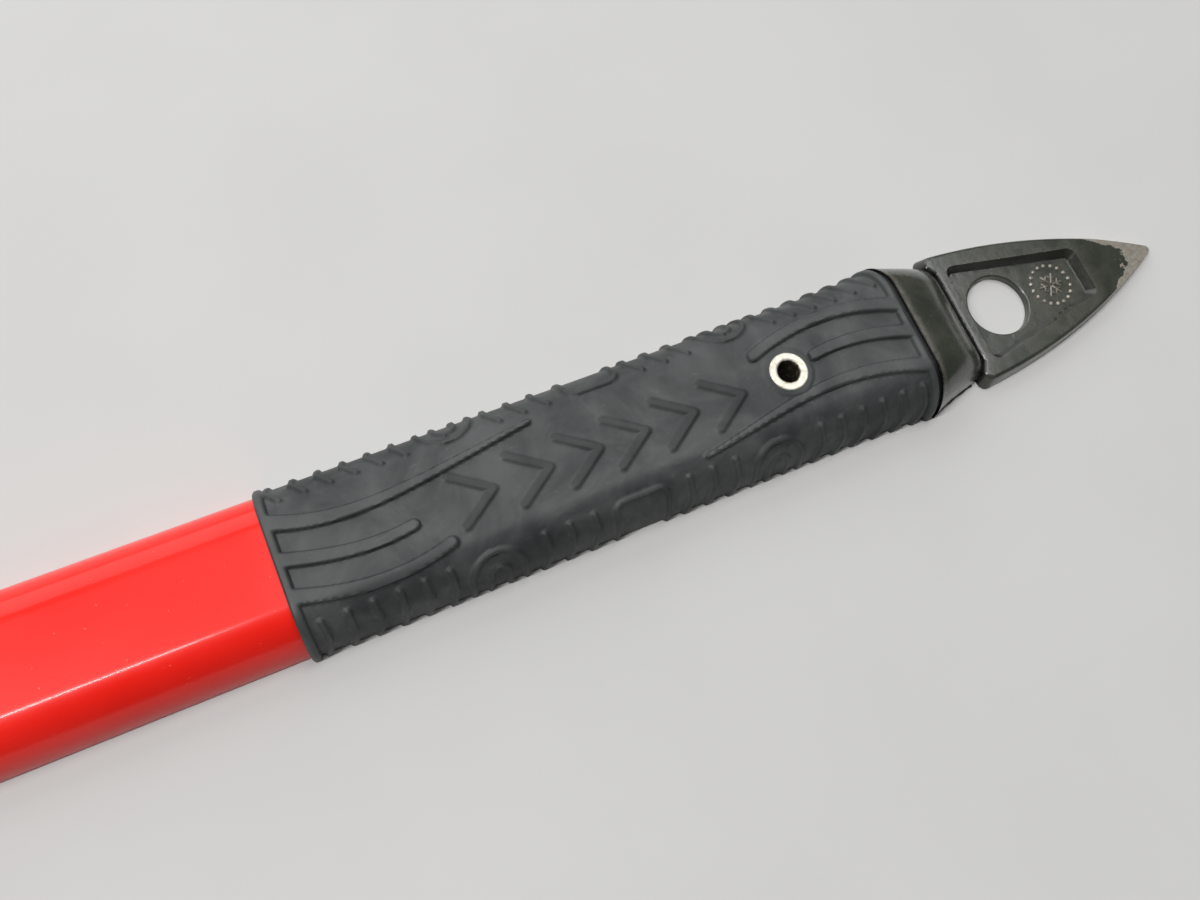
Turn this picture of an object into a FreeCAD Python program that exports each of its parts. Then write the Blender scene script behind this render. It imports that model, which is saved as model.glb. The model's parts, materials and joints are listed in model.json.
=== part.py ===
"""A mountaineering ice axe: a modular steel head, an oval alloy shaft, a rubber grip and a forged spike.

Frame: the origin is the centre of the spike's karabiner eye. +X runs along the shaft to the point of the
spike, the head plane is XY with the pick towards -Y and the adze towards +Y, and +Z is square to the shaft's
broad faces, so the axe lies on its side. All sizes are in millimetres. Each sub-part is written to
parts/NAME.step as one or more solids.
"""
import FreeCAD, Part
import math
import os

from FreeCAD import Vector

# ---------------------------------------------------------------- driving dimensions
TOTAL_LENGTH = 600.0       # top of the head to the point of the spike
FIT_GAP = 0.05             # clearance between pieces that seat on or pass through each other

# shaft: an oval tube with two flat broad faces and elliptical narrow sides
SHAFT_WIDTH = 33.0
SHAFT_THICK = 22.5
SHAFT_FLAT = 17.0          # width of each broad flat
SHAFT_WALL = 1.6
PLUG_LENGTH = 12.0         # each foam plug in the bore
PLUG_GAP = 1.0             # from a plug to the shank or the tang

# spike blade
SPIKE_REACH = 44.7         # eye centre to the point
SPIKE_BASE = 11.5          # eye centre to the back edge
SPIKE_HALF_WIDTH = 17.0    # at the parting plane
SPIKE_DRAFT = 1.1          # how far the sides draw in from the parting plane to each face
SPIKE_THICK = 7.0
SPIKE_WEB = 3.2            # what is left between the two pressed panels
SPIKE_RIM = 4.6            # from the panel to the parting plane at the back corners
SPIKE_BULGE = 3.3          # how far each side bows out past its chord
SPIKE_EDGE = 0.9           # rounding of the rim's outer edges
PANEL_FRONT_HALF = 6.1     # half width of the panel's front end
PANEL_BACK_RIM = 2.3       # from the blade's back edge to the panel
PANEL_FRONT_RIM = 1.6      # from the panel to the thinned point
PANEL_DRAFT = 1.35         # how far the panel's walls draw in from the rim to the web
EYE_RADIUS = 7.25
EYE_ROUND = 0.5            # rounding of the eye's rims
EAR_DEPTH = 2.4            # how far the back corners reach past the back edge
EAR_WIDTH = 3.4
EAR_ROUND = 2.0
TIP_RADIUS = 1.1
TIP_THICK = 2.4
TIP_FACET = 19.5           # length of the thinned point

# ferrule, tang and seal behind the blade
FERRULE_LENGTH = 16.2
DOME_INSET = 3.2           # from the blade's side to the dome's side where the two meet
TANG_THICK = 5.0
TANG_WIDTH = 22.0
TANG_LENGTH = 62.0         # behind the blade's back edge
GASKET_THICK = 0.7
GASKET_INSET = 0.7

# grip sleeve
GRIP_LENGTH = 138.8
GRIP_HEAD_WALL = 1.2       # rubber over the shaft at the collar end
GRIP_FLARE = 2.0           # rubber over the narrow sides at the spike end
GRIP_TAIL_WALL = 1.1       # rubber over the broad faces at the spike end

# hollow rivet through grip, shaft and tang
EYELET_SETBACK = 30.35     # from the shaft's tail end
EYELET_BORE = 2.35
EYELET_WALL = 0.65
EYELET_LIP = 1.18          # how far the flange stands out past the barrel
EYELET_MARGIN = 1.4        # width of the cup moulded in the rubber round the flange
FLANGE_THICK = 0.6

# head body
HEAD_THICK = 18.0
HEAD_FRONT = 37.0          # reach of the cheeks towards the pick
HEAD_REAR = 27.0           # reach of the cheeks towards the adze
HEAD_HEIGHT = 54.0         # top of the head to the shaft's end
SLOT_DEPTH = 27.0
HEAD_EYE_RADIUS = 7.5
HEAD_EYE_DROP = 39.0       # top of the head to the head eye
HEAD_EDGE = 1.5            # rounding of the cheeks' outer edges
COLLAR_LENGTH = 9.0        # how far the collar sleeves the shaft
COLLAR_WALL = 2.0
SHANK_LENGTH = 50.0
SHANK_BORE_WIDTH = 17.0
SHANK_BORE_THICK = 8.5

# blades held in the head's slot
PLATE_THICK = 4.0          # pick and adze tang
PICK_REACH = 152.0         # shaft axis to the pick's point
PICK_BACK_RADIUS = 238.0   # curve of the pick's back
PICK_BACK_DROP = 3.0       # top of the head to the highest point of the back
PICK_CREST_OUT = 10.0      # shaft axis to the highest point of the back
PICK_ROOT_DEPTH = 22.7
PICK_TIP_DEPTH = 13.0
PICK_HOOK = 9.0            # how far the point reaches past the end of the back
PICK_TEETH = 13
TOOTH_PITCH = 7.0
TOOTH_DEPTH = 2.8
PICK_HEEL = 2.0            # the pick's tang ends this far past the shaft axis
ADZE_REACH = 94.0
ADZE_HALF_WIDTH = 27.0
ADZE_ROOT_HALF_WIDTH = 9.0
ADZE_THICK = 3.4
ADZE_DROP = 34.0           # top of the head to the adze's cutting edge
ADZE_EDGE_LENGTH = 9.0     # length of the ground bevel

# fasteners
BOLT_RADIUS = 4.0
BOLT_HEX = 13.0            # across the flats
BOLT_HEAD = 4.6
NUT_THICK = 5.2
WASHER_THICK = 1.4
WASHER_BAND = 3.0          # width of the washer's ring
HEX_SEAT = 2.0             # depth of the hexagonal seat under each bolt head
DOWEL_RADIUS = 2.5
RIVET_RADIUS = 3.0
RIVET_HEAD_RADIUS = 5.0
RIVET_HEAD_HEIGHT = 1.7
RIVET_PITCH = 19.0
RIVET_SETBACK = 20.0       # first head rivet from the shaft's head end

# ---------------------------------------------------------------- places along the axe
TIP_X = SPIKE_REACH
BLADE_BACK_X = -SPIKE_BASE
FERRULE_X = BLADE_BACK_X - FERRULE_LENGTH
SHAFT_TAIL_X = FERRULE_X - GASKET_THICK
GRIP_HEAD_X = SHAFT_TAIL_X - GRIP_LENGTH
EYELET_X = SHAFT_TAIL_X - EYELET_SETBACK
HEAD_TOP_X = TIP_X - TOTAL_LENGTH
SHAFT_HEAD_X = HEAD_TOP_X + HEAD_HEIGHT
TANG_END_X = BLADE_BACK_X - TANG_LENGTH

EYELET_BARREL = EYELET_BORE + EYELET_WALL
EYELET_FLANGE = EYELET_BARREL + EYELET_LIP
EYELET_CUP = EYELET_FLANGE + EYELET_MARGIN
WASHER_RADIUS = BOLT_RADIUS + WASHER_BAND
BORE_WIDTH = SHAFT_WIDTH - 2 * SHAFT_WALL
BORE_THICK = SHAFT_THICK - 2 * SHAFT_WALL
GRIP_TAIL_WIDTH = SHAFT_WIDTH + 2 * GRIP_FLARE
GRIP_TAIL_THICK = SHAFT_THICK + 2 * GRIP_TAIL_WALL

PICK_ROOT_ANGLE = math.asin((HEAD_FRONT - 4.0 - PICK_CREST_OUT) / PICK_BACK_RADIUS)
PICK_TIP_ANGLE = math.asin((PICK_REACH - PICK_CREST_OUT) / (PICK_BACK_RADIUS - PICK_TIP_DEPTH))
BOLT_DROP = 13.5           # top of the head to both bolts
PICK_BOLT_OUT = 15.0       # shaft axis to the pick's bolt
ADZE_BOLT_OUT = 15.0       # shaft axis to the adze's bolt
DOWEL_DROP = 21.0
PICK_DOWEL_OUT = 30.0
ADZE_DOWEL_OUT = 22.0


# ---------------------------------------------------------------- helpers
def oval_wire(x, width, thick, flat=SHAFT_FLAT):
    """A closed oval in the plane X = x: two flats of the given width joined by half ellipses."""
    half = min(flat, 0.8 * width) / 2
    side = width / 2 - half
    rise = thick / 2
    edges = []
    for sign in (1, -1):
        centre = Vector(x, sign * half, 0)
        top = Vector(x, sign * half, sign * rise)
        bottom = Vector(x, sign * half, -sign * rise)
        tip = Vector(x, sign * (half + side), 0)
        if abs(side - rise) < 1e-6:
            edges.append(Part.Arc(top, tip, bottom).toShape())
        elif rise > side:
            ellipse = Part.Ellipse(top, tip, centre)
            edges.append(ellipse_half(ellipse, top, tip, bottom))
        else:
            ellipse = Part.Ellipse(tip, top, centre)
            edges.append(ellipse_half(ellipse, top, tip, bottom))
        edges.append(Part.makeLine(bottom, Vector(x, -sign * half, -sign * rise)))
    return Part.Wire(Part.__sortEdges__(edges))


def ellipse_half(ellipse, start, middle, end):
    """The half of an ellipse that runs from start to end through middle."""
    first = ellipse.parameter(start)
    last = ellipse.parameter(end)
    for low, high in ((first, last), (last, first)):
        span = (high - low) % (2 * math.pi)
        if (ellipse.value(low + span / 2) - middle).Length < 1e-3:
            return Part.ArcOfEllipse(ellipse, low, low + span).toShape()
    raise ValueError("the middle point isn't on the ellipse")


def oval_bar(x_from, x_to, width, thick, flat=SHAFT_FLAT):
    """A solid bar of oval section along X."""
    return Part.Face(oval_wire(x_from, width, thick, flat)).extrude(Vector(x_to - x_from, 0, 0))


def oval_loft(stations):
    """A solid lofted through (x, width, thick, flat) stations."""
    wires = [oval_wire(*station) for station in stations]
    return Part.makeLoft(wires, True, False)


def pin(x, y, radius, length, z_middle=0.0):
    """A cylinder along Z, centred on z_middle."""
    return Part.makeCylinder(radius, length, Vector(x, y, z_middle - length / 2), Vector(0, 0, 1))


def plate(outline_edges, thick):
    """A plate in the head plane, centred on z = 0, from the edges of its outline."""
    wire = Part.Wire(Part.__sortEdges__(outline_edges))
    face = Part.Face(wire)
    body = face.extrude(Vector(0, 0, thick))
    body.translate(Vector(0, 0, -thick / 2))
    return body


def polyline(points):
    """Straight edges through the points, left open."""
    return [Part.makeLine(a, b) for a, b in zip(points, points[1:])]


def arc(start, middle, end):
    """An arc edge through three points."""
    return Part.Arc(start, middle, end).toShape()


def bowed(start, end, bulge):
    """An arc from start to end whose middle stands off the chord by bulge, to the left of the way."""
    chord = end - start
    left = Vector(-chord.y, chord.x, 0).normalize()
    return arc(start, (start + end) * 0.5 + left * bulge, end)


def rounded_polygon(corners, radii, z=0.0):
    """A closed wire with straight sides and a tangent arc of its own radius at each corner."""
    count = len(corners)
    edges = []
    ends = []
    for i, (x, y) in enumerate(corners):
        here = Vector(x, y, z)
        before = (Vector(*corners[i - 1], z) - here).normalize()
        after = (Vector(*corners[(i + 1) % count], z) - here).normalize()
        half_angle = before.getAngle(after) / 2
        reach = radii[i] / math.tan(half_angle)
        start = here + before * reach
        end = here + after * reach
        bisector = (before + after).normalize()
        middle = here + bisector * (radii[i] / math.sin(half_angle) - radii[i])
        edges.append(arc(start, middle, end))
        ends.append((start, end))
    sides = []
    for i in range(count):
        sides.append(edges[i])
        sides.append(Part.makeLine(ends[i][1], ends[(i + 1) % count][0]))
    return Part.Wire(sides)


def round_edges(shape, radius, chosen):
    """Fillets the edges for which chosen(edge) is true."""
    edges = [e for e in shape.Edges if chosen(e)]
    return shape.makeFillet(radius, edges)


def at_height(z):
    """A test for edges that lie wholly at this height above or below the head plane."""
    return lambda e: abs(abs(e.BoundBox.ZMin) - z) < 1e-4 and e.BoundBox.ZLength < 1e-4


def rises_from(corner):
    """A test for edges that rise from this corner of an outline or from its mirror image over the axis."""
    def test(edge):
        low = min(edge.Vertexes, key=lambda v: v.Z).Point
        steep = edge.BoundBox.ZLength > 0.5
        return steep and abs(low.x - corner.x) < 1e-3 and abs(abs(low.y) - abs(corner.y)) < 1e-3
    return test


def head_point(drop, out, z=0.0):
    """A point in the head: drop below its top, out towards the pick (negative towards the adze)."""
    return Vector(HEAD_TOP_X + drop, -out, z)


def hexagon_prism(x, y, z, across, height):
    """A hexagonal prism along Z from height z upwards."""
    radius = across / 2 / math.cos(math.pi / 6)
    points = [
        Vector(x + radius * math.cos(k * math.pi / 3), y + radius * math.sin(k * math.pi / 3), z)
        for k in range(6)
    ]
    return Part.Face(Part.makePolygon(points + points[:1])).extrude(Vector(0, 0, height))


def chamfered_hexagon(x, y, z, across, height, up):
    """A hexagonal head or nut whose outer face is turned to a cone, as forged fasteners are."""
    body = hexagon_prism(x, y, z, across, height)
    crown = across / 2 * 0.97
    wide = across / 2 / math.cos(math.pi / 6) + 0.6
    rise = (wide - crown) * 0.55
    if up:
        cone = Part.makeCone(wide, crown, rise, Vector(x, y, z + height - rise))
        core = Part.makeCylinder(wide, height - rise, Vector(x, y, z))
    else:
        cone = Part.makeCone(crown, wide, rise, Vector(x, y, z))
        core = Part.makeCylinder(wide, height - rise, Vector(x, y, z + rise))
    return body.common(core.fuse(cone))


# ---------------------------------------------------------------- the spike end
def blade_corners(inset):
    """The blade outline's corners on one side, from the notch by the dome to the point, taken in by inset."""
    ear_x = BLADE_BACK_X - EAR_DEPTH + inset
    wide = SPIKE_HALF_WIDTH - inset
    ear_inner = Vector(ear_x, SPIKE_HALF_WIDTH - EAR_WIDTH, 0)
    notch = Vector(BLADE_BACK_X, SPIKE_HALF_WIDTH - EAR_WIDTH - EAR_DEPTH, 0)
    reach = TIP_X - ear_x
    slope = math.atan2(wide, reach) + 2 * math.atan2(2 * SPIKE_BULGE, math.hypot(reach, wide))
    point = Vector(TIP_X + TIP_RADIUS * (1 / math.sin(slope) - 1) - inset / math.sin(slope), 0, 0)
    return notch, ear_inner, Vector(ear_x, wide, 0), point


def blade_wire(inset, z):
    """The blade's outline at one height: a straight back with two ears, and bowed sides to a point."""
    notch, ear_inner, corner, point = blade_corners(inset)

    def mirror(p):
        return Vector(p.x, -p.y, 0)

    wire = Part.Wire([
        Part.makeLine(mirror(notch), notch),
        Part.makeLine(notch, ear_inner),
        Part.makeLine(ear_inner, corner),
        bowed(corner, point, SPIKE_BULGE),
        bowed(point, mirror(corner), SPIKE_BULGE),
        Part.makeLine(mirror(corner), mirror(ear_inner)),
        Part.makeLine(mirror(ear_inner), mirror(notch)),
    ])
    wire.translate(Vector(0, 0, z))
    return wire


def blade_half():
    """The upper half of the blade: sides drafted up from the parting plane, all corners rounded."""
    half = Part.makeLoft([blade_wire(0, 0), blade_wire(SPIKE_DRAFT, SPIKE_THICK / 2)], True, True)
    _, ear_inner, corner, point = blade_corners(0)
    for place, radius in ((point, TIP_RADIUS), (corner, EAR_ROUND), (ear_inner, SPIKE_EDGE + 0.2)):
        half = round_edges(half, radius, rises_from(place))
    return round_edges(half, SPIKE_EDGE, at_height(SPIKE_THICK / 2))


def panel_corners(inset):
    """The pressed panel's corners, taken in by inset."""
    back = BLADE_BACK_X + PANEL_BACK_RIM + inset
    front = TIP_X - TIP_FACET - PANEL_FRONT_RIM - inset
    wide = SPIKE_HALF_WIDTH - SPIKE_RIM - inset
    narrow = PANEL_FRONT_HALF - inset
    return [(back, -wide), (front, -narrow), (front, narrow), (back, wide)]


def panel_cutter():
    """The drafted pocket of the upper face, from the web to just above the rim."""
    floor_z = SPIKE_WEB / 2
    rim_z = SPIKE_THICK / 2
    spill = 1.0
    lower = rounded_polygon(panel_corners(PANEL_DRAFT), [1.2] * 4, floor_z)
    upper = rounded_polygon(
        panel_corners(-PANEL_DRAFT * spill / (rim_z - floor_z)), [2.4] * 4, rim_z + spill
    )
    return Part.makeLoft([lower, upper], True, True)


def tip_cutter():
    """The wedge that thins the point on the upper face."""
    rim_z = SPIKE_THICK / 2
    start = Vector(TIP_X - TIP_FACET, 0, rim_z)
    end = Vector(TIP_X + 2, 0, TIP_THICK / 2 - 2 * (rim_z - TIP_THICK / 2) / TIP_FACET)
    points = [start, end, Vector(TIP_X + 2, 0, rim_z + 1), Vector(start.x, 0, rim_z + 1), start]
    wedge = Part.Face(Part.makePolygon(points)).extrude(Vector(0, 4 * SPIKE_HALF_WIDTH, 0))
    wedge.translate(Vector(0, -2 * SPIKE_HALF_WIDTH, 0))
    return wedge


def tang_bar(gap=0.0):
    """The flat tang behind the blade, grown by gap to cut its seats."""
    return Part.makeBox(
        TANG_LENGTH + gap,
        TANG_WIDTH + 2 * gap,
        TANG_THICK + 2 * gap,
        Vector(TANG_END_X - gap, -TANG_WIDTH / 2 - gap, -TANG_THICK / 2 - gap),
    )


def flipped(shape):
    """The shape turned over about the shaft's axis."""
    other = shape.copy()
    other.rotate(Vector(0, 0, 0), Vector(1, 0, 0), 180)
    return other


def ferrule_dome():
    """The dome behind the blade: the grip's oval at the back, low enough at the blade to leave a crease."""
    end_width = 2 * (SPIKE_HALF_WIDTH - DOME_INSET)
    end_thick = SPIKE_THICK - 1.6
    fall = GRIP_TAIL_THICK - end_thick
    taper = GRIP_TAIL_WIDTH - end_width
    stations = [(FERRULE_X, GRIP_TAIL_WIDTH, GRIP_TAIL_THICK, SHAFT_FLAT)]
    profile = ((0.12, 0.015, 0.18), (0.36, 0.12, 0.46), (0.68, 0.42, 0.74), (0.88, 0.74, 0.91))
    for share, lower, narrower in profile:
        stations.append(
            (FERRULE_X + share * FERRULE_LENGTH, GRIP_TAIL_WIDTH - narrower * taper,
             GRIP_TAIL_THICK - lower * fall, SHAFT_FLAT)
        )
    stations.append((BLADE_BACK_X, end_width, end_thick, SHAFT_FLAT))
    return oval_loft(stations)


def is_eye_rim(edge):
    """True for the two circles where the karabiner eye meets the web."""
    curve = edge.Curve
    return (
        isinstance(curve, Part.Circle)
        and abs(curve.Radius - EYE_RADIUS) < 1e-4
        and abs(curve.Center.x) < 1e-4
        and abs(abs(curve.Center.z) - SPIKE_WEB / 2) < 1e-4
    )


def spike():
    """The forging: a domed ferrule, a flat tang into the shaft and a blade with pressed panels and an eye."""
    half = blade_half().cut(panel_cutter()).cut(tip_cutter())
    half = half.cut(pin(0, 0, EYE_RADIUS, 2 * SPIKE_THICK))
    half = round_edges(half, EYE_ROUND, is_eye_rim)
    blade = half.fuse(flipped(half)).removeSplitter()
    body = blade.fuse(ferrule_dome()).fuse(tang_bar())
    body = body.cut(pin(EYELET_X, 0, EYELET_BARREL + FIT_GAP, 2 * SPIKE_THICK))
    return body.removeSplitter()


def tail_gasket():
    """The rubber washer clamped between the ferrule and the ends of the shaft and grip."""
    width = GRIP_TAIL_WIDTH - 2 * GASKET_INSET
    thick = GRIP_TAIL_THICK - 2 * GASKET_INSET
    washer = oval_bar(SHAFT_TAIL_X, FERRULE_X, width, thick)
    return washer.cut(tang_bar(FIT_GAP))


def tang_packer(side):
    """Half of the nylon packing that holds the flat tang in the oval bore. side is 1 above, -1 below."""
    gap = 2 * FIT_GAP
    body = oval_bar(TANG_END_X, SHAFT_TAIL_X, BORE_WIDTH - gap, BORE_THICK - gap)
    body = body.cut(tang_bar(FIT_GAP))
    body = body.cut(pin(EYELET_X, 0, EYELET_BARREL + FIT_GAP, 2 * SHAFT_THICK))
    low = FIT_GAP / 2 if side > 0 else -SHAFT_THICK
    high = SHAFT_THICK if side > 0 else -FIT_GAP / 2
    half = Part.makeBox(
        2 * TANG_LENGTH, 2 * SHAFT_WIDTH, high - low,
        Vector(TANG_END_X - TANG_LENGTH / 2, -SHAFT_WIDTH, low),
    )
    return body.common(half)


def leash_eyelet():
    """The hollow rivet with a rolled flange on each broad face."""
    seat = SHAFT_THICK / 2 + FIT_GAP
    outer = EYELET_BARREL
    top = seat + FLANGE_THICK
    roll = EYELET_WALL
    section = [
        Part.makeLine(Vector(EYELET_BORE, 0, 0), Vector(EYELET_BORE, 0, top - roll)),
        arc(Vector(EYELET_BORE, 0, top - roll), Vector(EYELET_BORE + 0.3 * roll, 0, top - 0.3 * roll),
            Vector(EYELET_BORE + roll, 0, top)),
        Part.makeLine(Vector(EYELET_BORE + roll, 0, top), Vector(EYELET_FLANGE - 0.35, 0, top - 0.05)),
        arc(Vector(EYELET_FLANGE - 0.35, 0, top - 0.05),
            Vector(EYELET_FLANGE - 0.08, 0, top - 0.16), Vector(EYELET_FLANGE, 0, top - 0.4)),
        Part.makeLine(Vector(EYELET_FLANGE, 0, top - 0.4), Vector(EYELET_FLANGE, 0, seat)),
        Part.makeLine(Vector(EYELET_FLANGE, 0, seat), Vector(outer, 0, seat)),
        Part.makeLine(Vector(outer, 0, seat), Vector(outer, 0, 0)),
        Part.makeLine(Vector(outer, 0, 0), Vector(EYELET_BORE, 0, 0)),
    ]
    upper = Part.Face(Part.Wire(section)).revolve(Vector(0, 0, 0), Vector(0, 0, 1), 360)
    body = upper.fuse(flipped(upper)).removeSplitter()
    body.translate(Vector(EYELET_X, 0, 0))
    return body


def grip_sleeve():
    """The rubber sleeve: a collar at the head end, a flare at the ferrule, and a cup at each flange."""
    width = SHAFT_WIDTH + 2 * GRIP_HEAD_WALL
    thick = SHAFT_THICK + 2 * GRIP_HEAD_WALL
    flare_x = SHAFT_TAIL_X - 18.0
    stations = [
        (GRIP_HEAD_X, width, thick, SHAFT_FLAT),
        ((GRIP_HEAD_X + flare_x) / 2, width + 0.2, (thick + GRIP_TAIL_THICK) / 2, SHAFT_FLAT),
        (flare_x, width + 0.5, GRIP_TAIL_THICK, SHAFT_FLAT),
        (SHAFT_TAIL_X, GRIP_TAIL_WIDTH, GRIP_TAIL_THICK, SHAFT_FLAT),
    ]
    body = oval_loft(stations)
    inside = oval_bar(
        GRIP_HEAD_X - 1, SHAFT_TAIL_X + 1, SHAFT_WIDTH + 2 * FIT_GAP, SHAFT_THICK + 2 * FIT_GAP
    )
    body = body.cut(inside)
    body = body.cut(pin(EYELET_X, 0, EYELET_FLANGE + FIT_GAP, 2 * SHAFT_THICK))
    cup_floor = SHAFT_THICK / 2 + 0.45
    cup = Part.makeCylinder(EYELET_CUP, SHAFT_THICK, Vector(EYELET_X, 0, cup_floor))
    return body.cut(cup).cut(flipped(cup))


# ---------------------------------------------------------------- the shaft
def shaft_tube():
    """The oval alloy tube, drilled for the hollow rivet and the two head rivets."""
    body = oval_bar(SHAFT_HEAD_X, SHAFT_TAIL_X, SHAFT_WIDTH, SHAFT_THICK)
    body = body.cut(oval_bar(SHAFT_HEAD_X - 1, SHAFT_TAIL_X + 1, BORE_WIDTH, BORE_THICK))
    body = body.cut(pin(EYELET_X, 0, EYELET_BARREL + FIT_GAP, 2 * SHAFT_THICK))
    for x in head_rivet_places():
        body = body.cut(pin(x, 0, RIVET_RADIUS + FIT_GAP, 2 * SHAFT_THICK))
    return body


def bore_plug(x_from):
    """A closed-cell foam plug that keeps snow and water out of the bore."""
    return oval_bar(x_from, x_from + PLUG_LENGTH, BORE_WIDTH - 2 * FIT_GAP, BORE_THICK - 2 * FIT_GAP)


# ---------------------------------------------------------------- the head
def head_rivet_places():
    """X of the two rivets that hold the head's shank."""
    first = SHAFT_HEAD_X + RIVET_SETBACK
    return [first, first + RIVET_PITCH]


def head_outline():
    """The cheeks' outline: a shallow crown, a nose towards the pick, and a waist down to the collar."""
    waist = SHAFT_WIDTH / 2 + COLLAR_WALL - 1.5
    crown_front = head_point(3.0, HEAD_FRONT - 1.0)
    crown_rear = head_point(4.0, -HEAD_REAR + 1.0)
    nose = head_point(SLOT_DEPTH - 1.0, HEAD_FRONT - 4.0)
    tail = head_point(SLOT_DEPTH - 3.0, -HEAD_REAR)
    front_waist = head_point(HEAD_HEIGHT, waist)
    rear_waist = head_point(HEAD_HEIGHT, -waist)
    return [
        arc(crown_rear, head_point(0.0, (HEAD_FRONT - HEAD_REAR) / 2), crown_front),
        bowed(crown_front, nose, -1.2),
        bowed(nose, front_waist, 3.0),
        Part.makeLine(front_waist, rear_waist),
        bowed(rear_waist, tail, 2.0),
        bowed(tail, crown_rear, -1.2),
    ]


def blade_slot():
    """The slot that takes both blades, open at the top and at both ends."""
    wide = PLATE_THICK + 2 * FIT_GAP
    floor = HEAD_TOP_X + SLOT_DEPTH
    return Part.makeBox(
        SLOT_DEPTH + 2, HEAD_FRONT + HEAD_REAR + 4, wide,
        Vector(floor - SLOT_DEPTH - 2, -HEAD_FRONT - 2, -wide / 2),
    )


def bolt_places():
    """(name, x, y) of the two bolts through the slot."""
    pick_at = head_point(BOLT_DROP, PICK_BOLT_OUT)
    adze_at = head_point(BOLT_DROP, -ADZE_BOLT_OUT)
    return [("pick", pick_at.x, pick_at.y), ("adze", adze_at.x, adze_at.y)]


def dowel_places():
    """(name, x, y) of the two dowels that stop the blades turning on their bolts."""
    pick_at = head_point(DOWEL_DROP, PICK_DOWEL_OUT)
    adze_at = head_point(DOWEL_DROP, -ADZE_DOWEL_OUT)
    return [("pick", pick_at.x, pick_at.y), ("adze", adze_at.x, adze_at.y)]


def head_body():
    """The forged head: slotted cheeks, head eye, a collar over the shaft and a hollow shank in its bore."""
    cheeks = plate(head_outline(), HEAD_THICK)
    cheeks = round_edges(cheeks, HEAD_EDGE, at_height(HEAD_THICK / 2))
    collar_width = SHAFT_WIDTH + 2 * COLLAR_WALL
    collar_thick = SHAFT_THICK + 2 * COLLAR_WALL
    collar = oval_loft([
        (SHAFT_HEAD_X - 7.0, collar_width - 2.6, HEAD_THICK - 2.0, SHAFT_FLAT),
        (SHAFT_HEAD_X - 2.5, collar_width - 0.8, collar_thick - 2.4, SHAFT_FLAT),
        (SHAFT_HEAD_X + 1.0, collar_width, collar_thick, SHAFT_FLAT),
        (SHAFT_HEAD_X + COLLAR_LENGTH, collar_width, collar_thick, SHAFT_FLAT),
    ])
    body = cheeks.fuse(collar)
    socket = oval_bar(
        SHAFT_HEAD_X - FIT_GAP, SHAFT_HEAD_X + COLLAR_LENGTH + 1,
        SHAFT_WIDTH + 2 * FIT_GAP, SHAFT_THICK + 2 * FIT_GAP,
    )
    body = body.cut(socket)
    shank = oval_bar(
        SHAFT_HEAD_X - 1, SHAFT_HEAD_X + SHANK_LENGTH, BORE_WIDTH - 2 * FIT_GAP, BORE_THICK - 2 * FIT_GAP
    )
    hollow = oval_bar(
        SHAFT_HEAD_X + 6, SHAFT_HEAD_X + SHANK_LENGTH + 1,
        SHANK_BORE_WIDTH, SHANK_BORE_THICK, SHANK_BORE_WIDTH / 3,
    )
    body = body.fuse(shank.cut(hollow))
    body = body.cut(blade_slot())
    eye = head_point(HEAD_EYE_DROP, 0)
    body = body.cut(pin(eye.x, eye.y, HEAD_EYE_RADIUS, 2 * HEAD_THICK))
    for _, x, y in bolt_places():
        body = body.cut(pin(x, y, BOLT_RADIUS + FIT_GAP, 2 * HEAD_THICK))
        body = body.cut(
            hexagon_prism(x, y, HEAD_THICK / 2 - HEX_SEAT, BOLT_HEX + 2 * FIT_GAP, HEAD_THICK)
        )
    for _, x, y in dowel_places():
        body = body.cut(pin(x, y, DOWEL_RADIUS + FIT_GAP, 2 * HEAD_THICK))
    for x in head_rivet_places():
        body = body.cut(pin(x, 0, RIVET_RADIUS + FIT_GAP, 2 * SHAFT_THICK))
    return body.removeSplitter()


def pick_polar(angle, depth=0.0):
    """A point of the pick, by its angle about the centre of its curved back and its depth below that back."""
    centre = head_point(PICK_BACK_DROP + PICK_BACK_RADIUS, PICK_CREST_OUT)
    radius = PICK_BACK_RADIUS - depth
    return centre + Vector(-radius * math.cos(angle), -radius * math.sin(angle), 0)


def pick_depth(angle):
    """The pick's depth under its back, which tapers from the cheeks to the point."""
    share = (angle - PICK_ROOT_ANGLE) / (PICK_TIP_ANGLE - PICK_ROOT_ANGLE)
    return PICK_ROOT_DEPTH + (PICK_TIP_DEPTH - PICK_ROOT_DEPTH) * share ** 0.7


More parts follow.
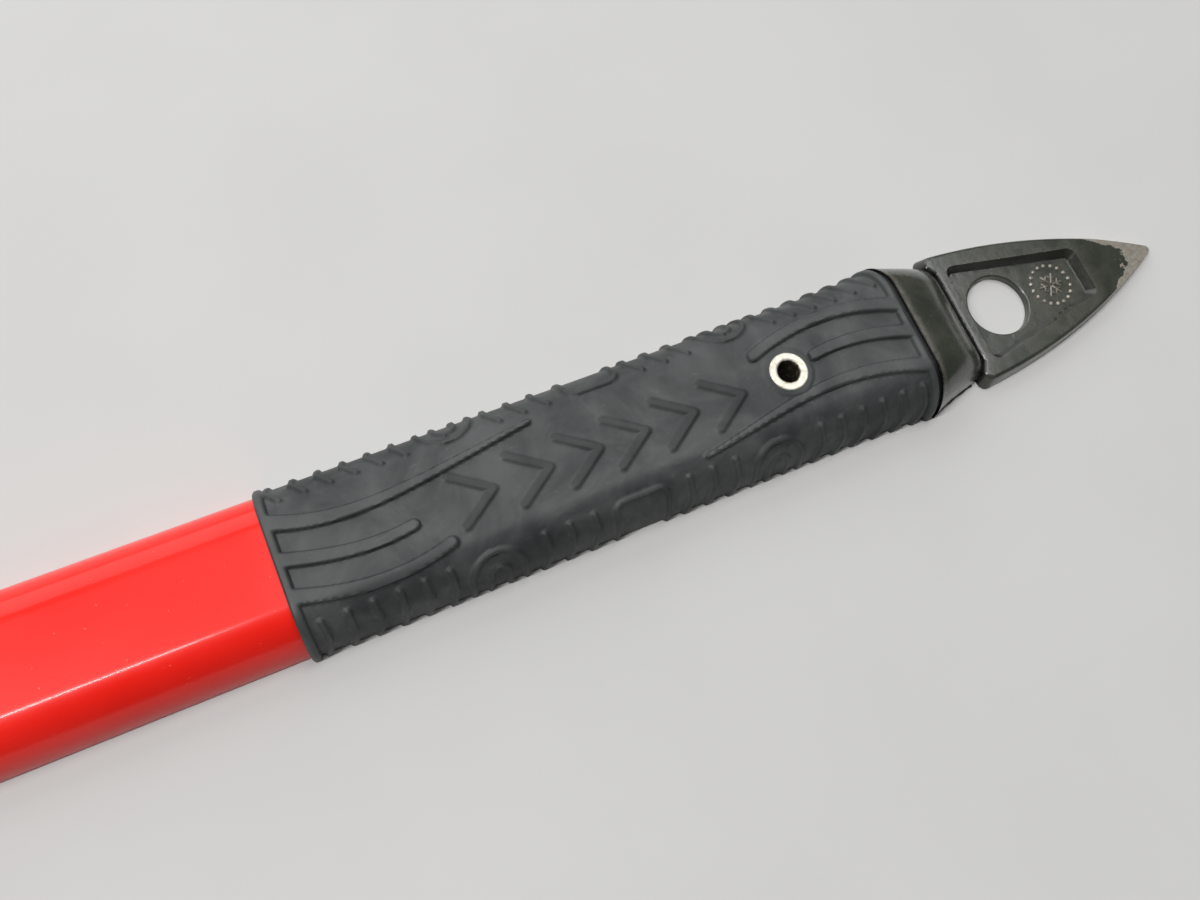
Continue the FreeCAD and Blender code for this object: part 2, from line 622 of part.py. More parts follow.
def pick_outline():
    """The pick's outline: a straight tang, a curved back, a hooked point and raked teeth underneath."""
    step = TOOTH_PITCH / (PICK_BACK_RADIUS - PICK_TIP_DEPTH)
    lower = [pick_polar(PICK_TIP_ANGLE, PICK_TIP_DEPTH)]
    for k in range(PICK_TEETH):
        valley = PICK_TIP_ANGLE - step * (k + 0.78)
        crest = PICK_TIP_ANGLE - step * (k + 1.0)
        shrink = 1.0 - 0.55 * k / PICK_TEETH
        lower.append(pick_polar(valley, pick_depth(valley) - TOOTH_DEPTH * shrink))
        lower.append(pick_polar(crest, pick_depth(crest)))
    last_crest = PICK_TIP_ANGLE - step * PICK_TEETH
    middle = (last_crest + PICK_ROOT_ANGLE) / 2
    root_top = pick_polar(PICK_ROOT_ANGLE)
    root_low = pick_polar(PICK_ROOT_ANGLE, PICK_ROOT_DEPTH)
    heel_low = head_point(SLOT_DEPTH - FIT_GAP, -PICK_HEEL)
    heel_top = head_point(PICK_BACK_DROP, -PICK_HEEL)
    tang_low = Vector(heel_low.x, root_low.y, 0)
    nose = PICK_TIP_ANGLE - PICK_HOOK / PICK_BACK_RADIUS
    edges = polyline([tang_low, heel_low, heel_top, root_top])
    edges.append(arc(root_top, pick_polar((PICK_ROOT_ANGLE + nose) / 2), pick_polar(nose)))
    edges.append(Part.makeLine(pick_polar(nose), lower[0]))
    edges += polyline(lower)
    edges.append(arc(lower[-1], pick_polar(middle, pick_depth(middle) - 0.6), root_low))
    edges.append(Part.makeLine(root_low, tang_low))
    return edges


def pick_blade():
    """The replaceable pick, thinned to a chisel at its point."""
    body = plate(pick_outline(), PLATE_THICK)
    point = pick_polar(PICK_TIP_ANGLE, PICK_TIP_DEPTH)
    for side in (1, -1):
        wedge = Part.makeBox(80, 30, 6, Vector(-40, -30, 0))
        wedge.rotate(Vector(0, 0, 0), Vector(1, 0, 0), 4.5)
        wedge.translate(Vector(point.x - 12, point.y + 22, PLATE_THICK / 2))
        if side < 0:
            wedge = flipped(wedge)
            wedge = wedge.mirror(Vector(0, 0, 0), Vector(0, 1, 0))
        body = body.cut(wedge)
    _, x, y = bolt_places()[0]
    body = body.cut(pin(x, y, BOLT_RADIUS + FIT_GAP, 3 * PLATE_THICK))
    _, x, y = dowel_places()[0]
    return body.cut(pin(x, y, DOWEL_RADIUS + FIT_GAP, 3 * PLATE_THICK))


def adze_line(share, lift):
    """A point of the adze's curved blade: share 0 at the cheeks, 1 at the edge; lift above its middle."""
    out = HEAD_REAR - 3.0 + share * (ADZE_REACH - HEAD_REAR + 3.0)
    drop = 8.0 + (ADZE_DROP - 8.0) * (0.35 * share + 0.65 * share ** 2)
    slope = (ADZE_DROP - 8.0) * (0.35 + 1.3 * share) / (ADZE_REACH - HEAD_REAR + 3.0)
    along = math.hypot(1.0, slope)
    return head_point(drop - lift / along, -(out + lift * slope / along))


def adze_blade():
    """The adze: a curved, flared blade with a ground edge on a flat tang that runs on beneath it as a rib."""
    half = ADZE_THICK / 2
    upper = [adze_line(s, half) for s in (0.0, 0.5, 1.0)]
    lower = [adze_line(s, -half) for s in (0.0, 0.5, 1.0)]
    ground = 1.0 - ADZE_EDGE_LENGTH / (ADZE_REACH - HEAD_REAR)
    edge_low = adze_line(1.0, half - 0.8)
    strip = [
        arc(*upper),
        Part.makeLine(upper[2], edge_low),
        Part.makeLine(edge_low, adze_line(ground, -half)),
        arc(adze_line(ground, -half), adze_line(ground / 2, -half), lower[0]),
        Part.makeLine(lower[0], upper[0]),
    ]
    sheet = plate(strip, 2 * ADZE_HALF_WIDTH)
    start_y = HEAD_REAR - 3.0
    corners = [
        (start_y - 6, -ADZE_ROOT_HALF_WIDTH), (start_y + 14, -ADZE_ROOT_HALF_WIDTH - 2.5),
        (ADZE_REACH + 4, -ADZE_HALF_WIDTH), (ADZE_REACH + 4, ADZE_HALF_WIDTH),
        (start_y + 14, ADZE_ROOT_HALF_WIDTH + 2.5), (start_y - 6, ADZE_ROOT_HALF_WIDTH),
    ]
    points = [Vector(HEAD_TOP_X - 5, y, z) for y, z in corners]
    planform = Part.Face(Part.makePolygon(points + points[:1])).extrude(Vector(ADZE_DROP + 30, 0, 0))
    sheet = sheet.common(planform)
    rib_end = adze_line(0.62, -half + 0.8)
    rib_mid = head_point(SLOT_DEPTH - 6.0, -(HEAD_REAR + 17.0))
    tang_low = head_point(SLOT_DEPTH - FIT_GAP, -HEAD_REAR + 1)
    tang = [
        Part.makeLine(head_point(5.5, -PICK_HEEL - 1.0), head_point(5.5, -HEAD_REAR + 4.0)),
        Part.makeLine(head_point(5.5, -HEAD_REAR + 4.0), adze_line(0.12, half - 0.6)),
        arc(adze_line(0.12, half - 0.6), adze_line(0.37, half - 0.9), adze_line(0.62, half - 0.8)),
        Part.makeLine(adze_line(0.62, half - 0.8), rib_end),
        arc(rib_end, rib_mid, tang_low),
        Part.makeLine(tang_low, head_point(SLOT_DEPTH - FIT_GAP, -PICK_HEEL - 1.0)),
        Part.makeLine(head_point(SLOT_DEPTH - FIT_GAP, -PICK_HEEL - 1.0), head_point(5.5, -PICK_HEEL - 1.0)),
    ]
    body = sheet.fuse(plate(tang, PLATE_THICK))
    cheeks = plate(head_outline(), 3 * HEAD_THICK).cut(
        Part.makeBox(2 * HEAD_HEIGHT, 4 * HEAD_FRONT, PLATE_THICK,
                     Vector(HEAD_TOP_X - 10, -2 * HEAD_FRONT, -PLATE_THICK / 2))
    )
    body = body.cut(cheeks)
    _, x, y = bolt_places()[1]
    body = body.cut(pin(x, y, BOLT_RADIUS + FIT_GAP, 3 * PLATE_THICK))
    _, x, y = dowel_places()[1]
    return body.cut(pin(x, y, DOWEL_RADIUS + FIT_GAP, 3 * PLATE_THICK)).removeSplitter()


# ---------------------------------------------------------------- fasteners
def head_bolt(x, y):
    """A hexagon bolt whose head sits in the seat on the upper cheek."""
    seat = HEAD_THICK / 2 - HEX_SEAT
    tail = HEAD_THICK / 2 + WASHER_THICK + NUT_THICK + 1.5
    head = chamfered_hexagon(x, y, seat, BOLT_HEX, BOLT_HEAD, True)
    stem = Part.makeCylinder(BOLT_RADIUS, seat + tail, Vector(x, y, -tail))
    stem = round_edges(stem, 0.8, lambda e: e.BoundBox.ZMax < -tail + 1e-4)
    return head.fuse(stem).removeSplitter()


def spring_washer(x, y):
    """A split spring washer under the nut."""
    top = -HEAD_THICK / 2 - FIT_GAP / 2
    foot = Vector(x, y, top - WASHER_THICK + FIT_GAP)
    ring = Part.makeCylinder(WASHER_RADIUS, WASHER_THICK - FIT_GAP, foot)
    ring = ring.cut(pin(x, y, BOLT_RADIUS + 2 * FIT_GAP, 4 * HEAD_THICK))
    split = Part.makeBox(WASHER_RADIUS + 1, 0.8, 4 * WASHER_THICK, Vector(x, y - 0.4, top - 2 * WASHER_THICK))
    return ring.cut(split)


def head_nut(x, y):
    """A hexagon nut on the lower cheek."""
    low = -HEAD_THICK / 2 - WASHER_THICK - NUT_THICK - FIT_GAP
    body = chamfered_hexagon(x, y, low, BOLT_HEX, NUT_THICK, False)
    return body.cut(pin(x, y, BOLT_RADIUS + FIT_GAP / 2, 4 * HEAD_THICK))


def slot_dowel(x, y):
    """A steel dowel across both cheeks and the blade between them."""
    length = HEAD_THICK + 0.6
    body = pin(x, y, DOWEL_RADIUS, length)
    return round_edges(body, 0.4, lambda e: e.BoundBox.ZLength < 1e-4)


def head_rivet(x):
    """A solid rivet through shaft and shank with a domed head on each broad face."""
    seat = SHAFT_THICK / 2 + FIT_GAP
    body = pin(x, 0, RIVET_RADIUS, 2 * seat + 1.0)
    ball = (RIVET_HEAD_RADIUS ** 2 + RIVET_HEAD_HEIGHT ** 2) / (2 * RIVET_HEAD_HEIGHT)
    for side in (1, -1):
        dome = Part.makeSphere(ball, Vector(x, 0, side * (seat + RIVET_HEAD_HEIGHT - ball)))
        slab = pin(x, 0, RIVET_HEAD_RADIUS + 1, RIVET_HEAD_HEIGHT, side * (seat + RIVET_HEAD_HEIGHT / 2))
        body = body.fuse(dome.common(slab))
    return body.removeSplitter()


# ---------------------------------------------------------------- the assembly
def build():
    """Every node's solid, by name."""
    nodes = {
        "shaft_tube": shaft_tube(),
        "shaft_plug_head": bore_plug(SHAFT_HEAD_X + SHANK_LENGTH + PLUG_GAP),
        "shaft_plug_tail": bore_plug(TANG_END_X - PLUG_GAP - PLUG_LENGTH),
        "grip_sleeve": grip_sleeve(),
        "tail_gasket": tail_gasket(),
        "tang_packer_upper": tang_packer(1),
        "tang_packer_lower": tang_packer(-1),
        "leash_eyelet": leash_eyelet(),
        "spike": spike(),
        "head_body": head_body(),
        "pick_blade": pick_blade(),
        "adze_blade": adze_blade(),
    }
    for name, x, y in bolt_places():
        nodes[name + "_bolt"] = head_bolt(x, y)
        nodes[name + "_spring_washer"] = spring_washer(x, y)
        nodes[name + "_nut"] = head_nut(x, y)
    for name, x, y in dowel_places():
        nodes[name + "_dowel"] = slot_dowel(x, y)
    for name, x in zip(("upper", "lower"), head_rivet_places()):
        nodes["head_rivet_" + name] = head_rivet(x)
    return nodes


def main():
    """Builds every node and writes one STEP file for each."""
    os.makedirs("parts", exist_ok=True)
    for name, shape in build().items():
        solids = shape.Solids
        kept = solids[0] if len(solids) == 1 else Part.makeCompound(solids)
        kept.exportStep(os.path.join("parts", name + ".step"))
        volume = kept.Volume / 1000
        print(f"{name:20s} solids {len(solids)}  valid {kept.isValid()}  volume {volume:8.3f} cm3")


main()
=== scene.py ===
"""The looks of an ice axe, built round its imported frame.

The axe lies on its side. +X runs along the shaft to the spike's point, +Z is square to the shaft's broad
faces, the adze is towards +Y and the pick towards -Y. Sizes are in millimetres unless a name says
otherwise, and meshes are made in metres.
"""
import json
import logging
import math
from collections.abc import Iterable, Sequence
from dataclasses import dataclass, field
from enum import Enum

import bmesh
import bpy
import numpy as np
from mathutils import Euler, Matrix, Vector
from mathutils.bvhtree import BVHTree


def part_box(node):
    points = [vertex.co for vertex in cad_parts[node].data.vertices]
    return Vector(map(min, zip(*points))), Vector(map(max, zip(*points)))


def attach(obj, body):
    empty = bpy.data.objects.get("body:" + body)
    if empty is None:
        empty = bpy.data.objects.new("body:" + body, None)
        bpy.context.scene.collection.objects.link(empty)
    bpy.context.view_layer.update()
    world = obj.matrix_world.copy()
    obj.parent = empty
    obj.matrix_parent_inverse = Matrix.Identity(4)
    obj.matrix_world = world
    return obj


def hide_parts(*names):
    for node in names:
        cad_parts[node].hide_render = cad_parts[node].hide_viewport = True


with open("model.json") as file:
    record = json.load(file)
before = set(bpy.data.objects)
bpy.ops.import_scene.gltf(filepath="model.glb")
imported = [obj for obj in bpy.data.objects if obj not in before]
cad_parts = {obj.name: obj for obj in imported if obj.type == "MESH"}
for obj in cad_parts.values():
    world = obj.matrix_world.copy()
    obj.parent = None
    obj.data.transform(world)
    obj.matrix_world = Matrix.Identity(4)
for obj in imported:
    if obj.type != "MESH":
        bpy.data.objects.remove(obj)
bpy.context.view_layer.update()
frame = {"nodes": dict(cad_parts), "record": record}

MM = 0.001
DRILL_LENGTH = 80.0     # longer than any piece is thick
DRILL_SIDES = 72
WELD_GAP = 0.002        # CAD points closer than this are one point
LOG = logging.getLogger("ice_axe")

Colour = tuple[float, float, float]
Point = tuple[float, float, float]
MeshLists = tuple[list[Point], list[Sequence[int]]]
Socket = bpy.types.NodeSocket
Value = Socket | float | Colour


# ---------------------------------------------------------------- finishes
class Sheet:
    """A material's node sheet, with short calls for the nodes that a finish is made of."""

    COLOUR_MIX = ((0, 6, 7), 2)     # a colour mix's sockets: share, a and b, then its result
    NUMBER_MIX = ((0, 2, 3), 0)     # a number mix's sockets
    EDGE_SAMPLES = 6
    CORNER_SAMPLES = 12

    def __init__(self, name: str) -> None:
        """Starts a material with one principled shader and the row's own coordinates.

        Args:
            name: the material's name.
        """
        self.material = bpy.data.materials.new(name)
        self.material.use_nodes = True
        self.tree = self.material.node_tree
        self.shader = self.tree.nodes["Principled BSDF"]
        self.place = self.tree.nodes.new("ShaderNodeTexCoord").outputs["Object"]

    def node(self, kind: str, **settings: object) -> bpy.types.Node:
        """Adds a node and sets its properties.

        Args:
            kind: the node's type, without the ShaderNode prefix.
            settings: property names and values.

        Returns:
            The new node.
        """
        made = self.tree.nodes.new("ShaderNode" + kind)
        for name, value in settings.items():
            setattr(made, name, value)
        return made

    def feed(self, socket: Socket, value: Value) -> None:
        """Links an output to a socket, or sets the socket to a plain number or colour.

        Args:
            socket: the input to feed.
            value: another node's output, a number or a colour.
        """
        if isinstance(value, bpy.types.NodeSocket):
            self.tree.links.new(value, socket)
        elif isinstance(value, tuple) and len(value) == 3 and socket.type == "RGBA":
            socket.default_value = (*value, 1.0)
        else:
            socket.default_value = value

    def stretched(self, scale: Point) -> Socket:
        """The row's coordinates, multiplied along each axis.

        Args:
            scale: the factor for X, Y and Z.

        Returns:
            The scaled coordinates.
        """
        mapping = self.node("Mapping")
        self.feed(mapping.inputs["Vector"], self.place)
        mapping.inputs["Scale"].default_value = scale
        return mapping.outputs["Vector"]

    def noise(
        self, size_mm: float, detail: float = 3.0, rough: float = 0.5,
        stretch: Point = (1.0, 1.0, 1.0), twist: float = 0.0,
    ) -> Socket:
        """Adds a noise whose blotches are about size_mm across.

        Args:
            size_mm: the size of a blotch.
            detail: the number of finer layers.
            rough: the strength of the finer layers.
            stretch: a factor on the coordinate of each axis; a small one draws the noise out along it.
            twist: the distortion of the noise.

        Returns:
            The noise's value.
        """
        made = self.node("TexNoise")
        self.feed(made.inputs["Vector"], self.stretched(stretch))
        made.inputs["Scale"].default_value = 1.0 / (size_mm * MM)
        made.inputs["Detail"].default_value = detail
        made.inputs["Roughness"].default_value = rough
        made.inputs["Distortion"].default_value = twist
        return made.outputs["Fac"]

    def axis(self, name: str) -> Socket:
        """One of the row's coordinates.

        Args:
            name: X, Y or Z.

        Returns:
            The coordinate in millimetres.
        """
        split = self.node("SeparateXYZ")
        self.feed(split.inputs[0], self.place)
        return self.times(split.outputs[name], 1.0 / MM)

    def maths(self, how: str, a: Value, b: Value = 0.0) -> Socket:
        """Adds a math node.

        Args:
            how: the node's operation.
            a: the first number.
            b: the second number.

        Returns:
            The result.
        """
        made = self.node("Math", operation=how)
        self.feed(made.inputs[0], a)
        self.feed(made.inputs[1], b)
        return made.outputs[0]

    def sum(self, a: Value, b: Value) -> Socket:
        """a plus b."""
        return self.maths("ADD", a, b)

    def less(self, a: Value, b: Value) -> Socket:
        """a minus b."""
        return self.maths("SUBTRACT", a, b)

    def times(self, a: Value, b: Value) -> Socket:
        """a times b."""
        return self.maths("MULTIPLY", a, b)

    def power(self, a: Value, b: Value) -> Socket:
        """a to the power of b."""
        return self.maths("POWER", a, b)

    def most(self, a: Value, b: Value) -> Socket:
        """The larger of a and b."""
        return self.maths("MAXIMUM", a, b)

    def size(self, a: Value) -> Socket:
        """a without its sign."""
        return self.maths("ABSOLUTE", a)

    def spread(
        self, value: Value, low: float, high: float, out_low: float = 0.0, out_high: float = 1.0
    ) -> Socket:
        """Maps a value from one range to another with soft ends.

        Args:
            value: the value.
            low: where the first range starts.
            high: where it ends.
            out_low: the result at low.
            out_high: the result at high.

        Returns:
            The mapped value, held at the second range's ends.
        """
        made = self.node("MapRange", interpolation_type="SMOOTHSTEP")
        for name, number in zip(("Value", "From Min", "From Max", "To Min", "To Max"),
                                (value, low, high, out_low, out_high)):
            self.feed(made.inputs[name], number)
        return made.outputs["Result"]

    def blend(self, kind: str, sockets: tuple[tuple[int, ...], int], values: Sequence[Value]) -> Socket:
        """Adds a mix node.

        Args:
            kind: the node's data type.
            sockets: the places of its inputs and of its result.
            values: the share of b, a and b.

        Returns:
            The result.
        """
        made = self.node("Mix", data_type=kind)
        inputs, result = sockets
        for index, value in zip(inputs, values):
            self.feed(made.inputs[index], value)
        return made.outputs[result]

    def mix(self, share: Value, a: Value, b: Value) -> Socket:
        """Colour a with a share of colour b."""
        return self.blend("RGBA", self.COLOUR_MIX, (share, a, b))

    def between(self, share: Value, a: Value, b: Value) -> Socket:
        """Number a with a share of number b."""
        return self.blend("FLOAT", self.NUMBER_MIX, (share, a, b))

    def bump(
        self, height: Socket, depth_mm: float, strength: float = 1.0, under: Socket | None = None
    ) -> Socket:
        """Adds a bump.

        Args:
            height: the height, from 0 to 1.
            depth_mm: the depth that a height of 1 stands for.
            strength: the share of the bump that is used.
            under: another bump that this one lies on.

        Returns:
            The bumped normal.
        """
        made = self.node("Bump")
        made.inputs["Strength"].default_value = strength
        made.inputs["Distance"].default_value = depth_mm * MM
        self.feed(made.inputs["Height"], height)
        if under is not None:
            self.feed(made.inputs["Normal"], under)
        return made.outputs["Normal"]

    def edges(self, radius_mm: float, low: float = 0.02, high: float = 0.16) -> Socket:
        """A mask of the piece's sharp edges and corners, from how far a rounded normal turns away.

        Args:
            radius_mm: the radius that edges are rounded to.
            low: the turn where the mask starts, as 1 less the cosine.
            high: the turn where it is full.

        Returns:
            1 on edges and 0 on flats.
        """
        rounded = self.node("Bevel", samples=self.EDGE_SAMPLES)
        rounded.inputs["Radius"].default_value = radius_mm * MM
        dot = self.node("VectorMath", operation="DOT_PRODUCT")
        self.feed(dot.inputs[0], rounded.outputs[0])
        self.feed(dot.inputs[1], self.node("NewGeometry").outputs["Normal"])
        turned = self.less(1.0, dot.outputs["Value"])
        return self.spread(turned, low, high)

    def openness(self, reach_mm: float) -> Socket:
        """How open the surface is to its surroundings.

        Args:
            reach_mm: how far away a wall still counts.

        Returns:
            1 on flats and outward edges, less in corners.
        """
        made = self.node("AmbientOcclusion", samples=self.CORNER_SAMPLES, only_local=True)
        made.inputs["Distance"].default_value = reach_mm * MM
        return made.outputs["AO"]

    def distance(self, x: float) -> Socket:
        """How far the surface is from an axis along Z.

        Args:
            x: the axis's place along the shaft, in millimetres.

        Returns:
            The distance in millimetres.
        """
        along, across = self.less(self.axis("X"), x), self.axis("Y")
        square = self.sum(self.times(along, along), self.times(across, across))
        return self.power(square, 0.5)

    def finish(self, **sockets: Value) -> bpy.types.Material:
        """Feeds the shader's sockets.

        Args:
            sockets: values by the plain names below.

        Returns:
            The material.
        """
        names = {
            "colour": "Base Color", "metal": "Metallic", "roughness": "Roughness", "normal": "Normal",
            "coat": "Coat Weight", "coat_roughness": "Coat Roughness", "coat_normal": "Coat Normal",
            "gloss": "Specular IOR Level",
        }
        for name, value in sockets.items():
            self.feed(self.shader.inputs[names[name]], value)
        return self.material


@dataclass(frozen=True)
class GlossPaint:
    """Stove-enamelled gloss paint on the alloy tube, with faint waves, dust and rub marks."""

    colour: Colour = (0.83, 0.016, 0.009)
    deep: Colour = (0.78, 0.012, 0.006)
    rub: Colour = (0.87, 0.065, 0.048)
    dust: Colour = (0.80, 0.42, 0.36)

    def material(self, name: str) -> bpy.types.Material:
        """Builds the paint.

        Args:
            name: the material's name.

        Returns:
            The material.
        """
        sheet = Sheet(name)
        cloud = sheet.spread(sheet.noise(28.0, 4.0), 0.35, 0.7)
        colour = sheet.mix(cloud, self.colour, self.deep)
        rubs = sheet.spread(sheet.noise(1.4, 5.0, 0.65, (0.12, 1.0, 1.0)), 0.66, 0.80, 0.0, 0.35)
        colour = sheet.mix(rubs, colour, self.rub)
        specks = sheet.spread(sheet.noise(0.5, 2.0), 0.74, 0.80, 0.0, 0.5)
        colour = sheet.mix(specks, colour, self.dust)
        smear = sheet.noise(9.0, 5.0, 0.6, (0.35, 1.0, 1.0), 0.4)
        roughness = sheet.spread(smear, 0.35, 0.75, 0.30, 0.44)
        peel = sheet.bump(sheet.noise(0.9, 2.0), 0.012, 0.5)
        hair = sheet.noise(0.35, 2.0, 0.5, (0.03, 1.0, 1.0))
        scratches = sheet.bump(sheet.spread(hair, 0.64, 0.72), 0.006, 0.5, peel)
        return sheet.finish(
            colour=colour, metal=0.0, roughness=roughness, normal=scratches, gloss=0.17, coat=0.42,
            coat_roughness=0.14,
        )


@dataclass(frozen=True)
class MouldedRubber:
    """Black moulded rubber: fine grain, chalky bloom, dust and rib polish; painted highlight on rib tops,
    painted shade on flanks and in grooves.
    """

    colour: Colour = (0.028, 0.032, 0.032)
    # the bloom's colour, which is also painted on the rib tops as a highlight
    bloom_and_top_sheen: Colour = (0.066, 0.071, 0.070)
    dust: Colour = (0.13, 0.13, 0.12)
    # painted shade on the ribs' flanks and in the groove round the eyelet seat
    foot: Colour = (0.010, 0.011, 0.011)
    relief: bool = True

    def material(self, name: str) -> bpy.types.Material:
        """Builds the rubber.

        Args:
            name: the material's name.

        Returns:
            The material.
        """
        sheet = Sheet(name)
        cloud = sheet.spread(sheet.noise(16.0, 5.0, 0.6, twist=0.6), 0.36, 0.68)
        colour = sheet.mix(cloud, self.colour, self.bloom_and_top_sheen)
        fleck = sheet.spread(sheet.noise(1.1, 5.0, 0.7), 0.60, 0.76, 0.0, 0.55)
        colour = sheet.mix(sheet.times(fleck, cloud), colour, self.dust)
        scuff = sheet.noise(0.8, 4.0, 0.6, (0.22, 1.0, 1.0), 0.5)
        colour = sheet.mix(sheet.spread(scuff, 0.66, 0.78, 0.0, 0.5), colour, self.dust)
        roughness = sheet.spread(sheet.noise(7.0, 4.0), 0.3, 0.7, 0.44, 0.58)
        if self.relief:
            height = sheet.node("Attribute", attribute_name="relief").outputs["Fac"]
            # painted highlight: the higher a rib stands, the lighter it is painted
            colour = sheet.mix(sheet.times(height, 0.25), colour, self.bloom_and_top_sheen)
            # painted shade along the ribs' flanks
            flank = sheet.times(sheet.spread(height, 0.0, 0.5), sheet.spread(height, 0.4, 1.0, 0.45, 0.0))
            colour = sheet.mix(flank, colour, self.foot)
            # painted shade in the groove round the eyelet seat
            groove = sheet.spread(height, -0.26, -0.05, 0.9, 0.0)
            colour = sheet.mix(groove, colour, self.foot)
            shine = sheet.times(height, 0.06)
            roughness = sheet.less(roughness, shine)
            dull = sheet.sum(sheet.times(flank, 0.15), sheet.times(groove, 0.35))
            roughness = sheet.sum(roughness, dull)
        grain = sheet.bump(sheet.noise(0.32, 3.0, 0.6), 0.035, 0.55)
        waves = sheet.bump(sheet.noise(5.0, 3.0), 0.10, 0.25, grain)
        return sheet.finish(colour=colour, metal=0.0, roughness=roughness, normal=waves, gloss=0.30)


class Wear(Enum):
    """How a painted forging is worn."""

    SPIKE = "bare at the point, rubbed along its rims"
    HEAD = "rubbed along its edges"


